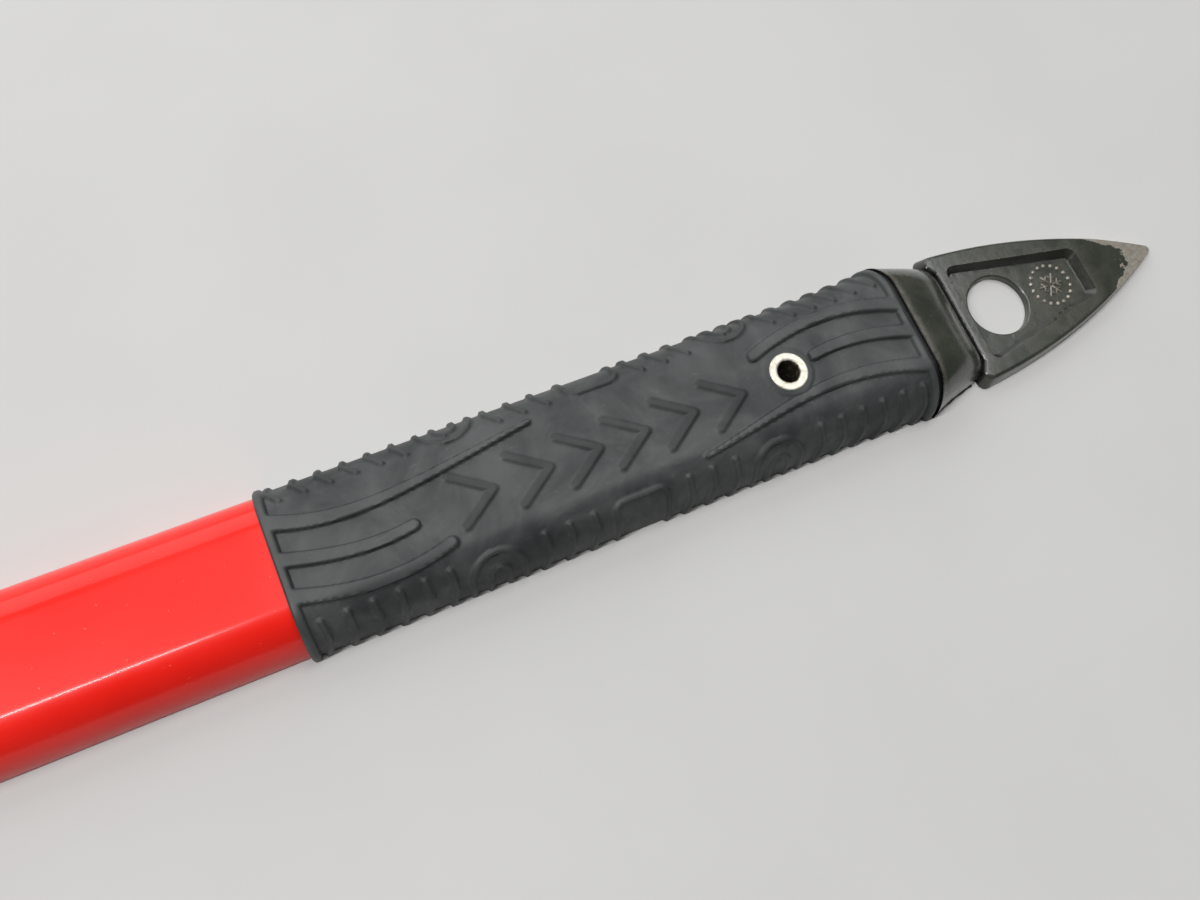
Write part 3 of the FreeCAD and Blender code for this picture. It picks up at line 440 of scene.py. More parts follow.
@dataclass(frozen=True)
class ForgingPaint:
    """Dark satin paint over a forging's skin, chipped to grey steel where it is worn, with painted shade in
    its corners.
    """

    wear: Wear
    colour: Colour = (0.028, 0.033, 0.024)
    warm: Colour = (0.044, 0.045, 0.033)
    rubbed: Colour = (0.135, 0.122, 0.094)
    steel: Colour = (0.36, 0.335, 0.28)
    rust: Colour = (0.14, 0.075, 0.040)
    # painted shade: near-black laid into corners, the ferrule's end, the panels' walls and the rivet's bore
    painted_shade: Colour = (0.004, 0.004, 0.004)
    point_from: float = 35.5    # where the paint is worn through along the middle
    point_end: float = 44.7
    point_slope: float = 0.47   # half width of the point per millimetre of its length
    ferrule_from: float = -27.7
    star_x: float = 14.8
    star_reach: float = 5.5
    star_floor: float = 1.68
    panel_ends: tuple[float, float] = (-9.2, 23.6)
    panel_halves: tuple[float, float] = (12.4, 6.1)

    def panel_wall_shade(self, sheet: Sheet) -> Socket:
        """Finds the pressed panels' drafted walls and the star's flanks, which are painted darker as shade.

        Args:
            sheet: the material's sheet.

        Returns:
            A mask that is 1 there.
        """
        (back, front), (wide, narrow) = self.panel_ends, self.panel_halves
        x, y = sheet.axis("X"), sheet.size(sheet.axis("Y"))
        taper = (narrow - wide) / (front - back)
        half = sheet.sum(sheet.times(sheet.less(x, back), taper), wide)
        across = sheet.spread(sheet.less(half, y), -0.5, -0.2)
        behind_front = sheet.spread(x, front + 0.2, front + 0.5, 1.0, 0.0)
        along = sheet.times(sheet.spread(x, back - 0.5, back - 0.2), behind_front)
        above = sheet.spread(sheet.size(sheet.axis("Z")), self.star_floor - 0.06, self.star_floor)
        tilt = sheet.node("SeparateXYZ")
        sheet.feed(tilt.inputs[0], sheet.node("NewGeometry").outputs["Normal"])
        steep = sheet.spread(sheet.size(tilt.outputs["Z"]), 0.75, 0.97, 1.0, 0.0)
        return sheet.times(sheet.times(across, along), sheet.times(above, steep))

    def bare_point(self, sheet: Sheet) -> Socket:
        """Finds where the point is worn to steel: its end, and further back along both edges.

        Args:
            sheet: the material's sheet.

        Returns:
            A mask that is 1 there.
        """
        x, y = sheet.axis("X"), sheet.size(sheet.axis("Y"))
        room = sheet.times(sheet.less(self.point_end, x), self.point_slope)
        inside = sheet.less(room, y)
        back = sheet.spread(inside, 0.0, 2.4, 11.0, 0.0)
        ragged = sheet.spread(sheet.noise(3.2, 5.0, 0.62, twist=0.5), 0.25, 0.75, -4.2, 4.2)
        reach = sheet.sum(sheet.sum(x, back), ragged)
        return sheet.spread(reach, self.point_from, self.point_from + 0.35)

    def bare_star(self, sheet: Sheet) -> Socket:
        """Finds where the raised star and its pips are rubbed bright.

        Args:
            sheet: the material's sheet.

        Returns:
            A mask that is high there.
        """
        away = sheet.distance(self.star_x)
        inside = sheet.spread(away, self.star_reach, self.star_reach + 0.2, 1.0, 0.0)
        height = sheet.size(sheet.axis("Z"))
        raised = sheet.spread(height, self.star_floor, self.star_floor + 0.16)
        low = sheet.spread(height, self.star_floor + 0.4, self.star_floor + 0.5, 1.0, 0.0)
        worn = sheet.spread(sheet.noise(0.9, 3.0), 0.30, 0.55, 0.45, 0.95)
        return sheet.times(sheet.times(inside, raised), sheet.times(low, worn))

    def material(self, name: str) -> bpy.types.Material:
        """Builds the paint for this wear.

        Args:
            name: the material's name.

        Returns:
            The material.
        """
        sheet = Sheet(name)
        cloud = sheet.spread(sheet.noise(7.0, 5.0, 0.6, twist=0.4), 0.35, 0.68)
        paint = sheet.mix(cloud, self.colour, self.warm)
        openness = sheet.openness(2.2)
        outward = sheet.spread(openness, 0.80, 0.97)
        edge = sheet.times(sheet.edges(0.9), outward)
        patchy = sheet.spread(sheet.noise(2.6, 5.0, 0.65), 0.38, 0.60)
        paint = sheet.mix(sheet.times(sheet.times(edge, patchy), 0.75), paint, self.rubbed)
        lines = sheet.spread(sheet.noise(0.6, 4.0, 0.6, (0.09, 1.0, 1.0), 0.3), 0.68, 0.78, 0.0, 0.45)
        paint = sheet.mix(lines, paint, self.rubbed)
        # painted shade: darker where corners close the surface in
        corner_shade = sheet.spread(openness, 0.55, 0.93, 0.85, 0.0)
        paint = sheet.mix(corner_shade, paint, self.painted_shade)
        chips = sheet.spread(sheet.noise(0.9, 3.0, 0.6), 0.64, 0.68)
        bare = sheet.times(sheet.times(chips, edge), 0.8)
        if self.wear is Wear.SPIKE:
            x = sheet.axis("X")
            band = sheet.spread(x, self.ferrule_from + 0.7, self.ferrule_from + 1.8, 0.5, 0.0)
            dusty = sheet.spread(sheet.noise(1.3, 5.0, 0.7), 0.35, 0.62, 0.25, 1.0)
            paint = sheet.mix(sheet.times(band, dusty), paint, self.rubbed)
            # painted shade: a near-black band where the ferrule meets the gasket
            gap = sheet.spread(x, self.ferrule_from + 0.22, self.ferrule_from + 0.36, 1.0, 0.0)
            paint = sheet.mix(gap, paint, self.painted_shade)
            # painted shade on the panels' drafted walls and the star's flanks
            paint = sheet.mix(sheet.times(self.panel_wall_shade(sheet), 0.45), paint, self.painted_shade)
            bare = sheet.most(bare, self.bare_point(sheet))
            bare = sheet.most(bare, self.bare_star(sheet))
        rusty = sheet.spread(sheet.noise(1.6, 5.0, 0.65, twist=0.5), 0.52, 0.72, 0.0, 0.75)
        steel = sheet.mix(rusty, self.steel, self.rust)
        colour = sheet.mix(bare, paint, steel)
        metal = sheet.times(bare, sheet.spread(rusty, 0.0, 0.75, 0.60, 0.20))
        satin = sheet.spread(sheet.noise(3.5, 4.0), 0.3, 0.7, 0.19, 0.33)
        ground = sheet.spread(sheet.noise(0.8, 3.0), 0.3, 0.7, 0.34, 0.58)
        roughness = sheet.between(bare, satin, ground)
        skin = sheet.bump(sheet.noise(2.4, 4.0, 0.55), 0.16, 0.32)
        grain = sheet.bump(sheet.noise(0.30, 3.0, 0.6), 0.03, 0.45, skin)
        step = sheet.bump(sheet.less(1.0, bare), 0.10, 0.9, grain)
        return sheet.finish(
            colour=colour, metal=metal, roughness=roughness, normal=step, gloss=0.5, coat=0.40,
            coat_roughness=0.12, coat_normal=skin,
        )


@dataclass(frozen=True)
class GroundSteel:
    """Hardened blade steel: a dark temper skin, ground edges along its outline and fine rub lines."""

    colour: Colour = (0.20, 0.195, 0.188)
    dark: Colour = (0.150, 0.146, 0.140)
    bright: Colour = (0.52, 0.51, 0.49)

    def material(self, name: str) -> bpy.types.Material:
        """Builds the steel.

        Args:
            name: the material's name.

        Returns:
            The material.
        """
        sheet = Sheet(name)
        cloud = sheet.spread(sheet.noise(11.0, 5.0, 0.6, twist=0.7), 0.34, 0.68)
        colour = sheet.mix(cloud, self.colour, self.dark)
        edge = sheet.edges(1.1)
        rough_edge = sheet.spread(sheet.noise(1.6, 4.0, 0.6), 0.30, 0.55)
        colour = sheet.mix(sheet.times(edge, rough_edge), colour, self.bright)
        lines = sheet.noise(0.45, 3.0, 0.55, (1.0, 0.06, 1.0), 0.2)
        colour = sheet.mix(sheet.spread(lines, 0.62, 0.76, 0.0, 0.5), colour, self.bright)
        roughness = sheet.spread(sheet.noise(4.0, 4.0), 0.3, 0.7, 0.30, 0.48)
        grain = sheet.bump(lines, 0.015, 0.5)
        return sheet.finish(colour=colour, metal=0.9, roughness=roughness, normal=grain)


@dataclass(frozen=True)
class PlainMetal:
    """Plated or drawn metal of small parts: a little cloudy, fine grain, darker in patches."""

    colour: Colour
    shade: Colour
    metal: float = 0.9
    smooth: float = 0.26
    rough: float = 0.42

    def material(self, name: str) -> bpy.types.Material:
        """Builds the metal.

        Args:
            name: the material's name.

        Returns:
            The material.
        """
        sheet = Sheet(name)
        cloud = sheet.spread(sheet.noise(3.0, 5.0, 0.6, twist=0.3), 0.38, 0.68)
        colour = sheet.mix(cloud, self.colour, self.shade)
        pits = sheet.spread(sheet.noise(0.45, 3.0), 0.70, 0.78, 0.0, 0.6)
        colour = sheet.mix(pits, colour, self.shade)
        roughness = sheet.spread(sheet.noise(1.7, 4.0), 0.3, 0.7, self.smooth, self.rough)
        grain = sheet.bump(sheet.noise(0.22, 2.0), 0.008, 0.5)
        return sheet.finish(colour=colour, metal=self.metal, roughness=roughness, normal=grain)


@dataclass(frozen=True)
class HollowRivetMetal:
    """Pale anodised alloy round a hole whose inside is painted dark as shade."""

    x: float
    bore: float
    colour: Colour = (0.74, 0.72, 0.62)
    shade: Colour = (0.52, 0.49, 0.38)
    painted_shade: Colour = (0.030, 0.024, 0.015)

    def material(self, name: str) -> bpy.types.Material:
        """Builds the metal.

        Args:
            name: the material's name.

        Returns:
            The material.
        """
        sheet = Sheet(name)
        away = sheet.distance(self.x)
        wobble = sheet.spread(sheet.noise(1.2, 4.0), 0.3, 0.7, -0.12, 0.12)
        inside = sheet.spread(sheet.sum(away, wobble), self.bore + 0.02, self.bore + 0.35, 1.0, 0.0)
        cloud = sheet.spread(sheet.noise(1.5, 4.0), 0.40, 0.70)
        colour = sheet.mix(cloud, self.colour, self.shade)
        # painted shade: the inside of the bore is painted dark
        colour = sheet.mix(inside, colour, self.painted_shade)
        roughness = sheet.spread(sheet.noise(1.7, 4.0), 0.3, 0.7, 0.26, 0.42)
        grain = sheet.bump(sheet.noise(0.22, 2.0), 0.008, 0.5)
        return sheet.finish(colour=colour, metal=0.2, roughness=roughness, normal=grain)


@dataclass(frozen=True)
class PlainPlastic:
    """Moulded nylon or foam inside the shaft."""

    colour: Colour
    shade: Colour
    grain_mm: float = 0.6
    grain_depth: float = 0.03

    def material(self, name: str) -> bpy.types.Material:
        """Builds the plastic.

        Args:
            name: the material's name.

        Returns:
            The material.
        """
        sheet = Sheet(name)
        cloud = sheet.spread(sheet.noise(5.0, 4.0), 0.35, 0.7)
        colour = sheet.mix(cloud, self.colour, self.shade)
        roughness = sheet.spread(sheet.noise(2.0, 3.0), 0.3, 0.7, 0.48, 0.66)
        grain = sheet.bump(sheet.noise(self.grain_mm, 3.0), self.grain_depth, 0.6)
        return sheet.finish(colour=colour, metal=0.0, roughness=roughness, normal=grain)


# ---------------------------------------------------------------- mesh work
def make_piece(
    name: str, points: np.ndarray | Sequence[Point], faces: Iterable[Sequence[int]],
    sharp_angle: float = 35.0,
) -> bpy.types.Object:
    """Makes a mesh object from points in millimetres, smooth except at edges sharper than the angle.

    Args:
        name: the piece's name.
        points: rows of x, y, z in millimetres.
        faces: tuples of point numbers.
        sharp_angle: edges that turn more than this, in degrees, stay sharp.

    Returns:
        The object, linked to the scene.
    """
    mesh = bpy.data.meshes.new(name)
    mesh.from_pydata((np.asarray(points, float) * MM).tolist(), [], [tuple(map(int, f)) for f in faces])
    mesh.validate()
    piece = bpy.data.objects.new(name, mesh)
    bpy.context.scene.collection.objects.link(piece)
    face_outwards(piece)
    smooth(piece, sharp_angle)
    return piece


def face_outwards(piece: bpy.types.Object) -> None:
    """Turns every face of a closed piece outwards.

    Args:
        piece: the piece.
    """
    work = bmesh.new()
    work.from_mesh(piece.data)
    bmesh.ops.recalc_face_normals(work, faces=work.faces)
    work.to_mesh(piece.data)
    work.free()


def smooth(piece: bpy.types.Object, sharp_angle: float) -> None:
    """Shades a piece smooth, except over edges that turn more than the angle."""
    piece.data.shade_smooth()
    piece.data.set_sharp_from_angle(angle=math.radians(sharp_angle))


def drill(piece: bpy.types.Object, places: Iterable[Point]) -> None:
    """Cuts round holes along Z through a piece.

    Args:
        piece: the closed piece.
        places: x, y and radius of each hole, in millimetres.
    """
    for x, y, radius in places:
        cutter = bpy.data.meshes.new("drill")
        work = bmesh.new()
        where = Matrix.Translation((x * MM, y * MM, 0))
        bmesh.ops.create_cone(
            work, cap_ends=True, segments=DRILL_SIDES, radius1=radius * MM, radius2=radius * MM, matrix=where,
            depth=DRILL_LENGTH * MM,
        )
        work.to_mesh(cutter)
        work.free()
        tool = bpy.data.objects.new("drill", cutter)
        bpy.context.scene.collection.objects.link(tool)
        cut = piece.modifiers.new("drill", "BOOLEAN")
        cut.operation, cut.solver, cut.object = "DIFFERENCE", "MANIFOLD", tool
        bake_modifiers(piece)
        bpy.data.objects.remove(tool)


def bake_modifiers(piece: bpy.types.Object) -> None:
    """Replaces a piece's mesh by the one its modifiers make.

    Args:
        piece: the piece.
    """
    graph = bpy.context.evaluated_depsgraph_get()
    made = bpy.data.meshes.new_from_object(piece.evaluated_get(graph))
    piece.modifiers.clear()
    piece.data = made


def dress(piece: bpy.types.Object, material: bpy.types.Material) -> None:
    """Gives every face of a piece one material."""
    piece.data.materials.clear()
    piece.data.materials.append(material)


def stand_in(node: str, sharp_angle: float = 30.0) -> bpy.types.Object:
    """A copy of a CAD node with its points joined, so that its curved faces shade smoothly.

    Args:
        node: the CAD node's name.
        sharp_angle: edges that turn more than this, in degrees, stay sharp.

    Returns:
        The copy, which rides on the root body and replaces the node.
    """
    source = frame["nodes"][node]
    mesh = source.data.copy()
    work = bmesh.new()
    work.from_mesh(mesh)
    bmesh.ops.remove_doubles(work, verts=work.verts, dist=WELD_GAP * MM)
    work.to_mesh(mesh)
    work.free()
    mesh.materials.clear()
    piece = bpy.data.objects.new(node + "_finished", mesh)
    bpy.context.scene.collection.objects.link(piece)
    if piece.data.has_custom_normals:
        with bpy.context.temp_override(object=piece, active_object=piece):
            bpy.ops.mesh.customdata_custom_splitnormals_clear()
    smooth(piece, sharp_angle)
    place(piece, [node])
    return piece


def place(piece: bpy.types.Object, nodes: Sequence[str] = ()) -> None:
    """Rides a piece on the root body.

    Args:
        piece: the piece.
        nodes: the CAD nodes that it replaces.
    """
    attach(piece, "root")
    if nodes:
        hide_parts(*nodes)
    LOG.info("%s: %d faces", piece.name, len(piece.data.polygons))


# ---------------------------------------------------------------- the grip
def soft_step(share: np.ndarray) -> np.ndarray:
    """A share from 0 to 1 with soft ends."""
    return share * share * (3 - 2 * share)


def ring_faces(rings: int, columns: int) -> np.ndarray:
    """The faces of a tube whose points go ring by ring, from its skin round to its bore.

    Args:
        rings: the number of rings; the last one joins the first.
        columns: the number of points in a ring.

    Returns:
        Rows of four point numbers.
    """
    around = np.arange(columns)
    after = (around + 1) % columns
    starts = [*range(0, rings * columns, columns), 0]
    return np.vstack([
        np.stack([a + around, a + after, b + after, b + around], 1) for a, b in zip(starts, starts[1:])
    ])


@dataclass(frozen=True)
class Oval:
    """The sleeve's section: two flats joined by half ellipses."""

    width: float
    thick: float
    flat: float = 17.0

    def quarter(self, count: int = 400) -> tuple[np.ndarray, np.ndarray, np.ndarray]:
        """The quarter from the top's middle to the side's middle.

        Args:
            count: the number of points on the ellipse.

        Returns:
            Arc length, y and z of its points.
        """
        turn = np.linspace(0, math.pi / 2, count)
        y = np.r_[0.0, self.flat / 2 + (self.width - self.flat) / 2 * np.sin(turn)]
        z = np.r_[self.thick / 2, self.thick / 2 * np.cos(turn)]
        length = np.r_[0.0, np.cumsum(np.hypot(np.diff(y), np.diff(z)))]
        return length, y, z

    def around(self, shares: np.ndarray) -> tuple[np.ndarray, np.ndarray, np.ndarray]:
        """Points round the section, by share of its girth from the top's middle towards +Y.

        Args:
            shares: numbers from 0 to 1.

        Returns:
            Arc length from the nearer broad face's middle, y, and z. On the lower face the arc length is
            that of the upper face turned over about the shaft's axis.
        """
        length, y, z = self.quarter()
        reach = length[-1]
        along = (np.asarray(shares) % 1.0) * 4 * reach
        folded = np.where(along > 2 * reach, along - 4 * reach, along)
        from_top = np.abs(folded)
        low = from_top > reach
        near = np.where(low, 2 * reach - from_top, from_top)
        side = np.where(folded < 0, -1.0, 1.0)
        out_y = side * np.interp(near, length, y)
        out_z = np.interp(near, length, z) * np.where(low, -1.0, 1.0)
        return np.where(low, -side, side) * near, out_y, out_z


@dataclass(frozen=True)
class Rib:
    """A raised rib along a cubic curve over the unrolled sleeve, from one width to another."""

    run: tuple[tuple[float, float], ...]    # place along the shaft, and arc length from the face's middle
    start_width: float
    end_width: float

    def points(self, count: int = 28) -> tuple[np.ndarray, np.ndarray]:
        """Follows the rib's middle.

        Args:
            count: the number of points.

        Returns:
            The points and the rib's width at each.
        """
        t = np.linspace(0, 1, count)[:, None]
        a, b, c, d = (np.array(p, float) for p in self.run)
        curve = (1 - t) ** 3 * a + 3 * (1 - t) ** 2 * t * b + 3 * (1 - t) * t ** 2 * c + t ** 3 * d
        return curve, np.linspace(self.start_width, self.end_width, count)


@dataclass(frozen=True)
class Loop:
    """An arch raised on the sleeve's narrow sides, with legs that run on round the side."""

    half: float         # half its width along the shaft
    near: float         # from the face's middle to its top on the -Y side
    far: float          # and on the +Y side
    drop: float         # depth of its arch

    def runs(self, place_x: float, girth_quarter: float) -> list[np.ndarray]:
        """The loop on both sides.

        Args:
            place_x: the loop's middle.
            girth_quarter: the arc length from a face's middle to a side's middle.

        Returns:
            The points of each side's run.
        """
        turn = np.linspace(0, math.pi, 25)
        runs = []
        for sign, reach in ((-1, self.near), (1, self.far)):
            across = reach + self.drop - self.drop * np.sin(turn)
            arch = np.stack([place_x - self.half * np.cos(turn), sign * across], 1)
            legs = [(place_x - self.half, sign * girth_quarter), (place_x + self.half, sign * girth_quarter)]
            runs.append(np.vstack([legs[:1], arch, legs[1:]]))
        return runs


@dataclass
class GripSleeve:
    """The moulded rubber sleeve with its collars, ribs, side bars, loops, chevrons and eyelet seat."""

    head_x: float = -167.2
    tail_x: float = -28.4
    head_section: Oval = Oval(35.4, 24.9)
    waist_section: Oval = Oval(35.9, 24.7)
    tail_section: Oval = Oval(37.0, 24.7)
    waist_x: float = -46.4
    bore: Oval = Oval(33.1, 22.6, 15.0)
    relief: float = 0.9            # ribs above the sleeve's skin
    edge: float = 0.25             # half the width of a rib's flank
    spare: float = 0.2             # how much further out a stroke looks for grid points
    crown: float = 0.14            # how much rounder a rib is at its middle; heights are shares of relief
    collar: float = 1.7
    collar_dip: float = 0.5        # rounding of each end's rim, as a length and as a height
    eyelet_x: float = -58.75
    eyelet_hole: float = 4.16
    seat_radius: float = 5.6
    seat_height: float = 0.22
    seat_flank: float = 0.3
    groove_out: float = 0.1        # from the seat to the middle of the groove round it
    groove_half: float = 0.42
    groove_depth: float = 0.42
    rib_foot: float = 0.6          # the groove stops where a rib is higher than this
    pitch: float = 5.0             # between side bars
    short_pitch: float = 5.2       # and in the groups of three
    bar_width: float = 1.25
    bar_height: float = 0.74
    bar_lean: float = 0.3          # how far a bar's end leans towards the spike
    bar_trail: float = 1.0         # how far its middle trails towards the head
    far_bend_trail: float = 1.9
    bar_near: float = 13.6         # from the face's middle to the end of a bar on the -Y side
    bar_near_bend: float = 19.0
    bar_far: float = 11.9          # and on the +Y side
    bar_far_bend: float = 15.6
    loop_places: tuple[float, ...] = (-129.0, -67.3)
    nested_loops: tuple[Loop, ...] = (Loop(5.5, 13.2, 11.4, 6.0), Loop(2.1, 17.0, 14.0, 2.6))
    loop_width: float = 1.2
    loop_height: float = 0.7
    panel_place: float = -98.2
    panel_half: float = 5.6
    panel_near: float = 13.4
    panel_far: float = 12.0
    panel_corner: float = 2.0
    chevron_places: tuple[float, ...] = (-132.0, -120.2, -109.6, -99.4, -88.6, -77.6)
    chevron_width: float = 7.4
    chevron_arm: float = 5.2       # half its height across the face
    chevron_middle: float = -1.0
    chevron_stroke: float = 1.8
    chevron_height: float = 0.46
    bar_groups: tuple[tuple[float, int], ...] = ((-163.0, 6), (-118.7, 3), (-87.5, 3), (-57.0, 6))
    ribs: tuple[Rib, ...] = (
        Rib(((-166.5, 8.0), (-152, 2.0), (-140, 5.2), (-113.5, 9.1)), 3.3, 1.1),
        Rib(((-166.5, 0.4), (-158, -2.2), (-150, -3.8), (-141.2, -2.3)), 2.9, 2.3),
        Rib(((-166.5, -6.9), (-156, -10.4), (-146, -11.4), (-135.8, -8.1)), 3.1, 2.4),
        Rib(((-64.6, 5.7), (-53, 9.6), (-42, 10.6), (-29, 5.3)), 2.4, 3.2),
        Rib(((-52.2, 1.4), (-45, 2.6), (-37, 1.6), (-29, -1.3)), 2.4, 3.0),
        Rib(((-82.5, -10.6), (-65, -7.9), (-49, -1.6), (-29, -9.7)), 1.1, 3.3),
    )
    rows: int = 346
    columns: int = 286
    crowding: float = 0.45         # how much closer the columns are on the broad faces
    girth_place: float = -98.0     # where the girth for the unrolled sleeve is taken
    sharp_angle: float = 48.0

    def section(self, x: float) -> Oval:
        """The sleeve's section over its ribs.

        Args:
            x: the place along the shaft.

        Returns:
            The section there.
        """
        if x < self.waist_x:
            share = (x - self.head_x) / (self.waist_x - self.head_x)
            a, b = self.head_section, self.waist_section
        else:
            share = (x - self.waist_x) / (self.tail_x - self.waist_x)
            a, b = self.waist_section, self.tail_section
        return Oval(a.width + share * (b.width - a.width), a.thick + share * (b.thick - a.thick))

    def stroke(
        self, heights: np.ndarray, x: np.ndarray, s: np.ndarray, run: np.ndarray, widths: np.ndarray,
        top: float = 1.0,
    ) -> None:
        """Raises the sleeve along a run of points, with soft flanks and round ends.

        Args:
            heights: the relief so far, from 0 to 1, raised in place.
            x: each grid point's place along the shaft.
            s: each grid point's arc length from the face's middle.
            run: the stroke's points.
            widths: the stroke's width at each point.
            top: the stroke's height.
        """
        margin = widths.max() / 2 + self.edge + self.spare
        for (p, q), (wp, wq) in zip(zip(run, run[1:]), zip(widths, widths[1:])):
            near = (
                (x > min(p[0], q[0]) - margin) & (x < max(p[0], q[0]) + margin)
                & (s > min(p[1], q[1]) - margin) & (s < max(p[1], q[1]) + margin)
            )
            if not near.any():
                continue
            along = q - p
            share = ((x[near] - p[0]) * along[0] + (s[near] - p[1]) * along[1]) / max(along @ along, 1e-9)
            share = np.clip(share, 0, 1)
            gap = np.hypot(x[near] - p[0] - share * along[0], s[near] - p[1] - share * along[1])
            half = (wp + share * (wq - wp)) / 2
            rise = np.clip((half + self.edge - gap) / (2 * self.edge), 0, 1)
            round_top = np.sqrt(np.clip(1 - (gap / (half + self.edge)) ** 2, 0, 1))
            crown = 1 - self.crown + self.crown * round_top
            heights[near] = np.maximum(heights[near], top * crown * soft_step(rise))

    def bars(self, girth_quarter: float) -> list[np.ndarray]:
        """The bars round both narrow sides.

        Args:
            girth_quarter: the arc length from a face's middle to a side's middle.

        Returns:
            The points of each bar's run.
        """
        runs = []
        for first, count in self.bar_groups:
            for k in range(count):
                x = first + k * (self.short_pitch if count == 3 else self.pitch)
                side, lean, bend = x - self.bar_trail, x + self.bar_lean, x - self.far_bend_trail
                runs.append([(x, -self.bar_near), (lean, -self.bar_near_bend), (side, -girth_quarter)])
                runs.append([(lean, self.bar_far), (bend, self.bar_far_bend), (side, girth_quarter)])
        return [np.array(run) for run in runs]

    def panels(self, girth_quarter: float) -> list[np.ndarray]:
        """The square loop with round corners on both narrow sides.

        Args:
            girth_quarter: the arc length from a face's middle to a side's middle.

        Returns:
            The points of each side's run.
        """
        bend = np.linspace(0, math.pi / 2, 9)
        corner, runs = self.panel_corner, []
        for sign, reach in ((-1, self.panel_near), (1, self.panel_far)):
            left = np.stack([self.panel_place - self.panel_half + corner - corner * np.cos(bend),
                             sign * (reach + corner - corner * np.sin(bend))], 1)
            right = left[::-1] * (-1, 1) + (2 * self.panel_place, 0)
            legs = [(left[0][0], sign * girth_quarter), (right[-1][0], sign * girth_quarter)]
            runs.append(np.vstack([legs[:1], left, right, legs[1:]]))
        return runs

    def chevrons(self) -> list[np.ndarray]:
        """The raised chevrons along the face's middle.

        Returns:
            The points of each chevron's run.
        """
        middle, arm, width = self.chevron_middle, self.chevron_arm, self.chevron_width
        return [
            np.array([(x, middle + arm), (x + width, middle), (x, middle - arm)])
            for x in self.chevron_places
        ]

    def heights(self, x: np.ndarray, s: np.ndarray, girth_quarter: float) -> np.ndarray:
        """The relief over the unrolled sleeve.

        Args:
            x: each grid point's place along the shaft.
            s: each grid point's arc length from the face's middle.
            girth_quarter: the arc length from a face's middle to a side's middle.

        Returns:
            Heights from 0, the skin, to 1, the top of the ribs.
        """
        heights = np.zeros_like(x)
        for rib in self.ribs:
            run, widths = rib.points()
            self.stroke(heights, x, s, run, widths)
        loops = [run for place_x in self.loop_places for loop in self.nested_loops
                 for run in loop.runs(place_x, girth_quarter)]
        for runs, width, height in (
            (self.bars(girth_quarter), self.bar_width, self.bar_height),
            (loops + self.panels(girth_quarter), self.loop_width, self.loop_height),
            (self.chevrons(), self.chevron_stroke, self.chevron_height),
        ):
            for run in runs:
                self.stroke(heights, x, s, run, np.full(len(run), width), height)
        away = np.hypot(x - self.eyelet_x, s)
        seat = np.clip((self.seat_radius - away) / self.seat_flank + 0.5, 0, 1)
        heights = heights * (1 - seat) + self.seat_height * seat
        from_groove = np.abs(away - self.seat_radius - self.groove_out)
        groove = np.clip(1 - from_groove / self.groove_half, 0, 1)
        heights -= self.groove_depth * groove * (heights < self.rib_foot)
        for end, inward in ((self.head_x, 1), (self.tail_x, -1)):
            from_end = (x - end) * inward
            rise = np.clip((self.collar + self.edge - from_end) / (2 * self.edge), 0, 1)
            heights = np.maximum(heights, soft_step(rise))
            heights -= self.collar_dip * np.clip(1 - from_end / self.collar_dip, 0, 1) ** 2
        return heights

    def build(self) -> bpy.types.Object:
        """Builds the sleeve as one closed mesh with its eyelet hole.

        Returns:
            The sleeve, which replaces its CAD node.
        """
        xs = np.linspace(self.head_x, self.tail_x, self.rows)
        even = np.arange(self.columns) / self.columns
        shares = even - self.crowding * np.sin(4 * math.pi * even) / (4 * math.pi)
        x, s, y, z = (np.zeros((self.rows, self.columns)) for _ in range(4))
        for row, place_x in enumerate(xs):
            x[row] = place_x
            s[row], y[row], z[row] = self.section(place_x).around(shares)
        quarter = self.section(self.girth_place).quarter()[0][-1]
        heights = self.heights(x, s, quarter)
        out_y = np.roll(z, 1, 1) - np.roll(z, -1, 1)
        out_z = np.roll(y, -1, 1) - np.roll(y, 1, 1)
        length = np.hypot(out_y, out_z)
        inset = (1 - heights) * self.relief
        skin = np.stack([x, y - inset * out_y / length, z - inset * out_z / length], -1).reshape(-1, 3)
        _, bore_y, bore_z = self.bore.around(shares)
        rings = [np.stack([np.full(self.columns, end), bore_y, bore_z], -1) for end in (xs[-1], xs[0])]
        points = np.vstack([skin, *rings])
        faces = ring_faces(self.rows + 2, self.columns)
        sleeve = make_piece("grip_sleeve_moulded", points, faces, self.sharp_angle)
        tag = sleeve.data.attributes.new("relief", "FLOAT", "POINT")
        tag.data.foreach_set("value", np.r_[np.clip(heights.ravel(), -1, 1), np.zeros(2 * self.columns)])
        drill(sleeve, [(self.eyelet_x, 0.0, self.eyelet_hole)])
        smooth(sleeve, self.sharp_angle)
        dress(sleeve, MouldedRubber().material("grip_rubber"))
        place(sleeve, ["grip_sleeve"])
        return sleeve


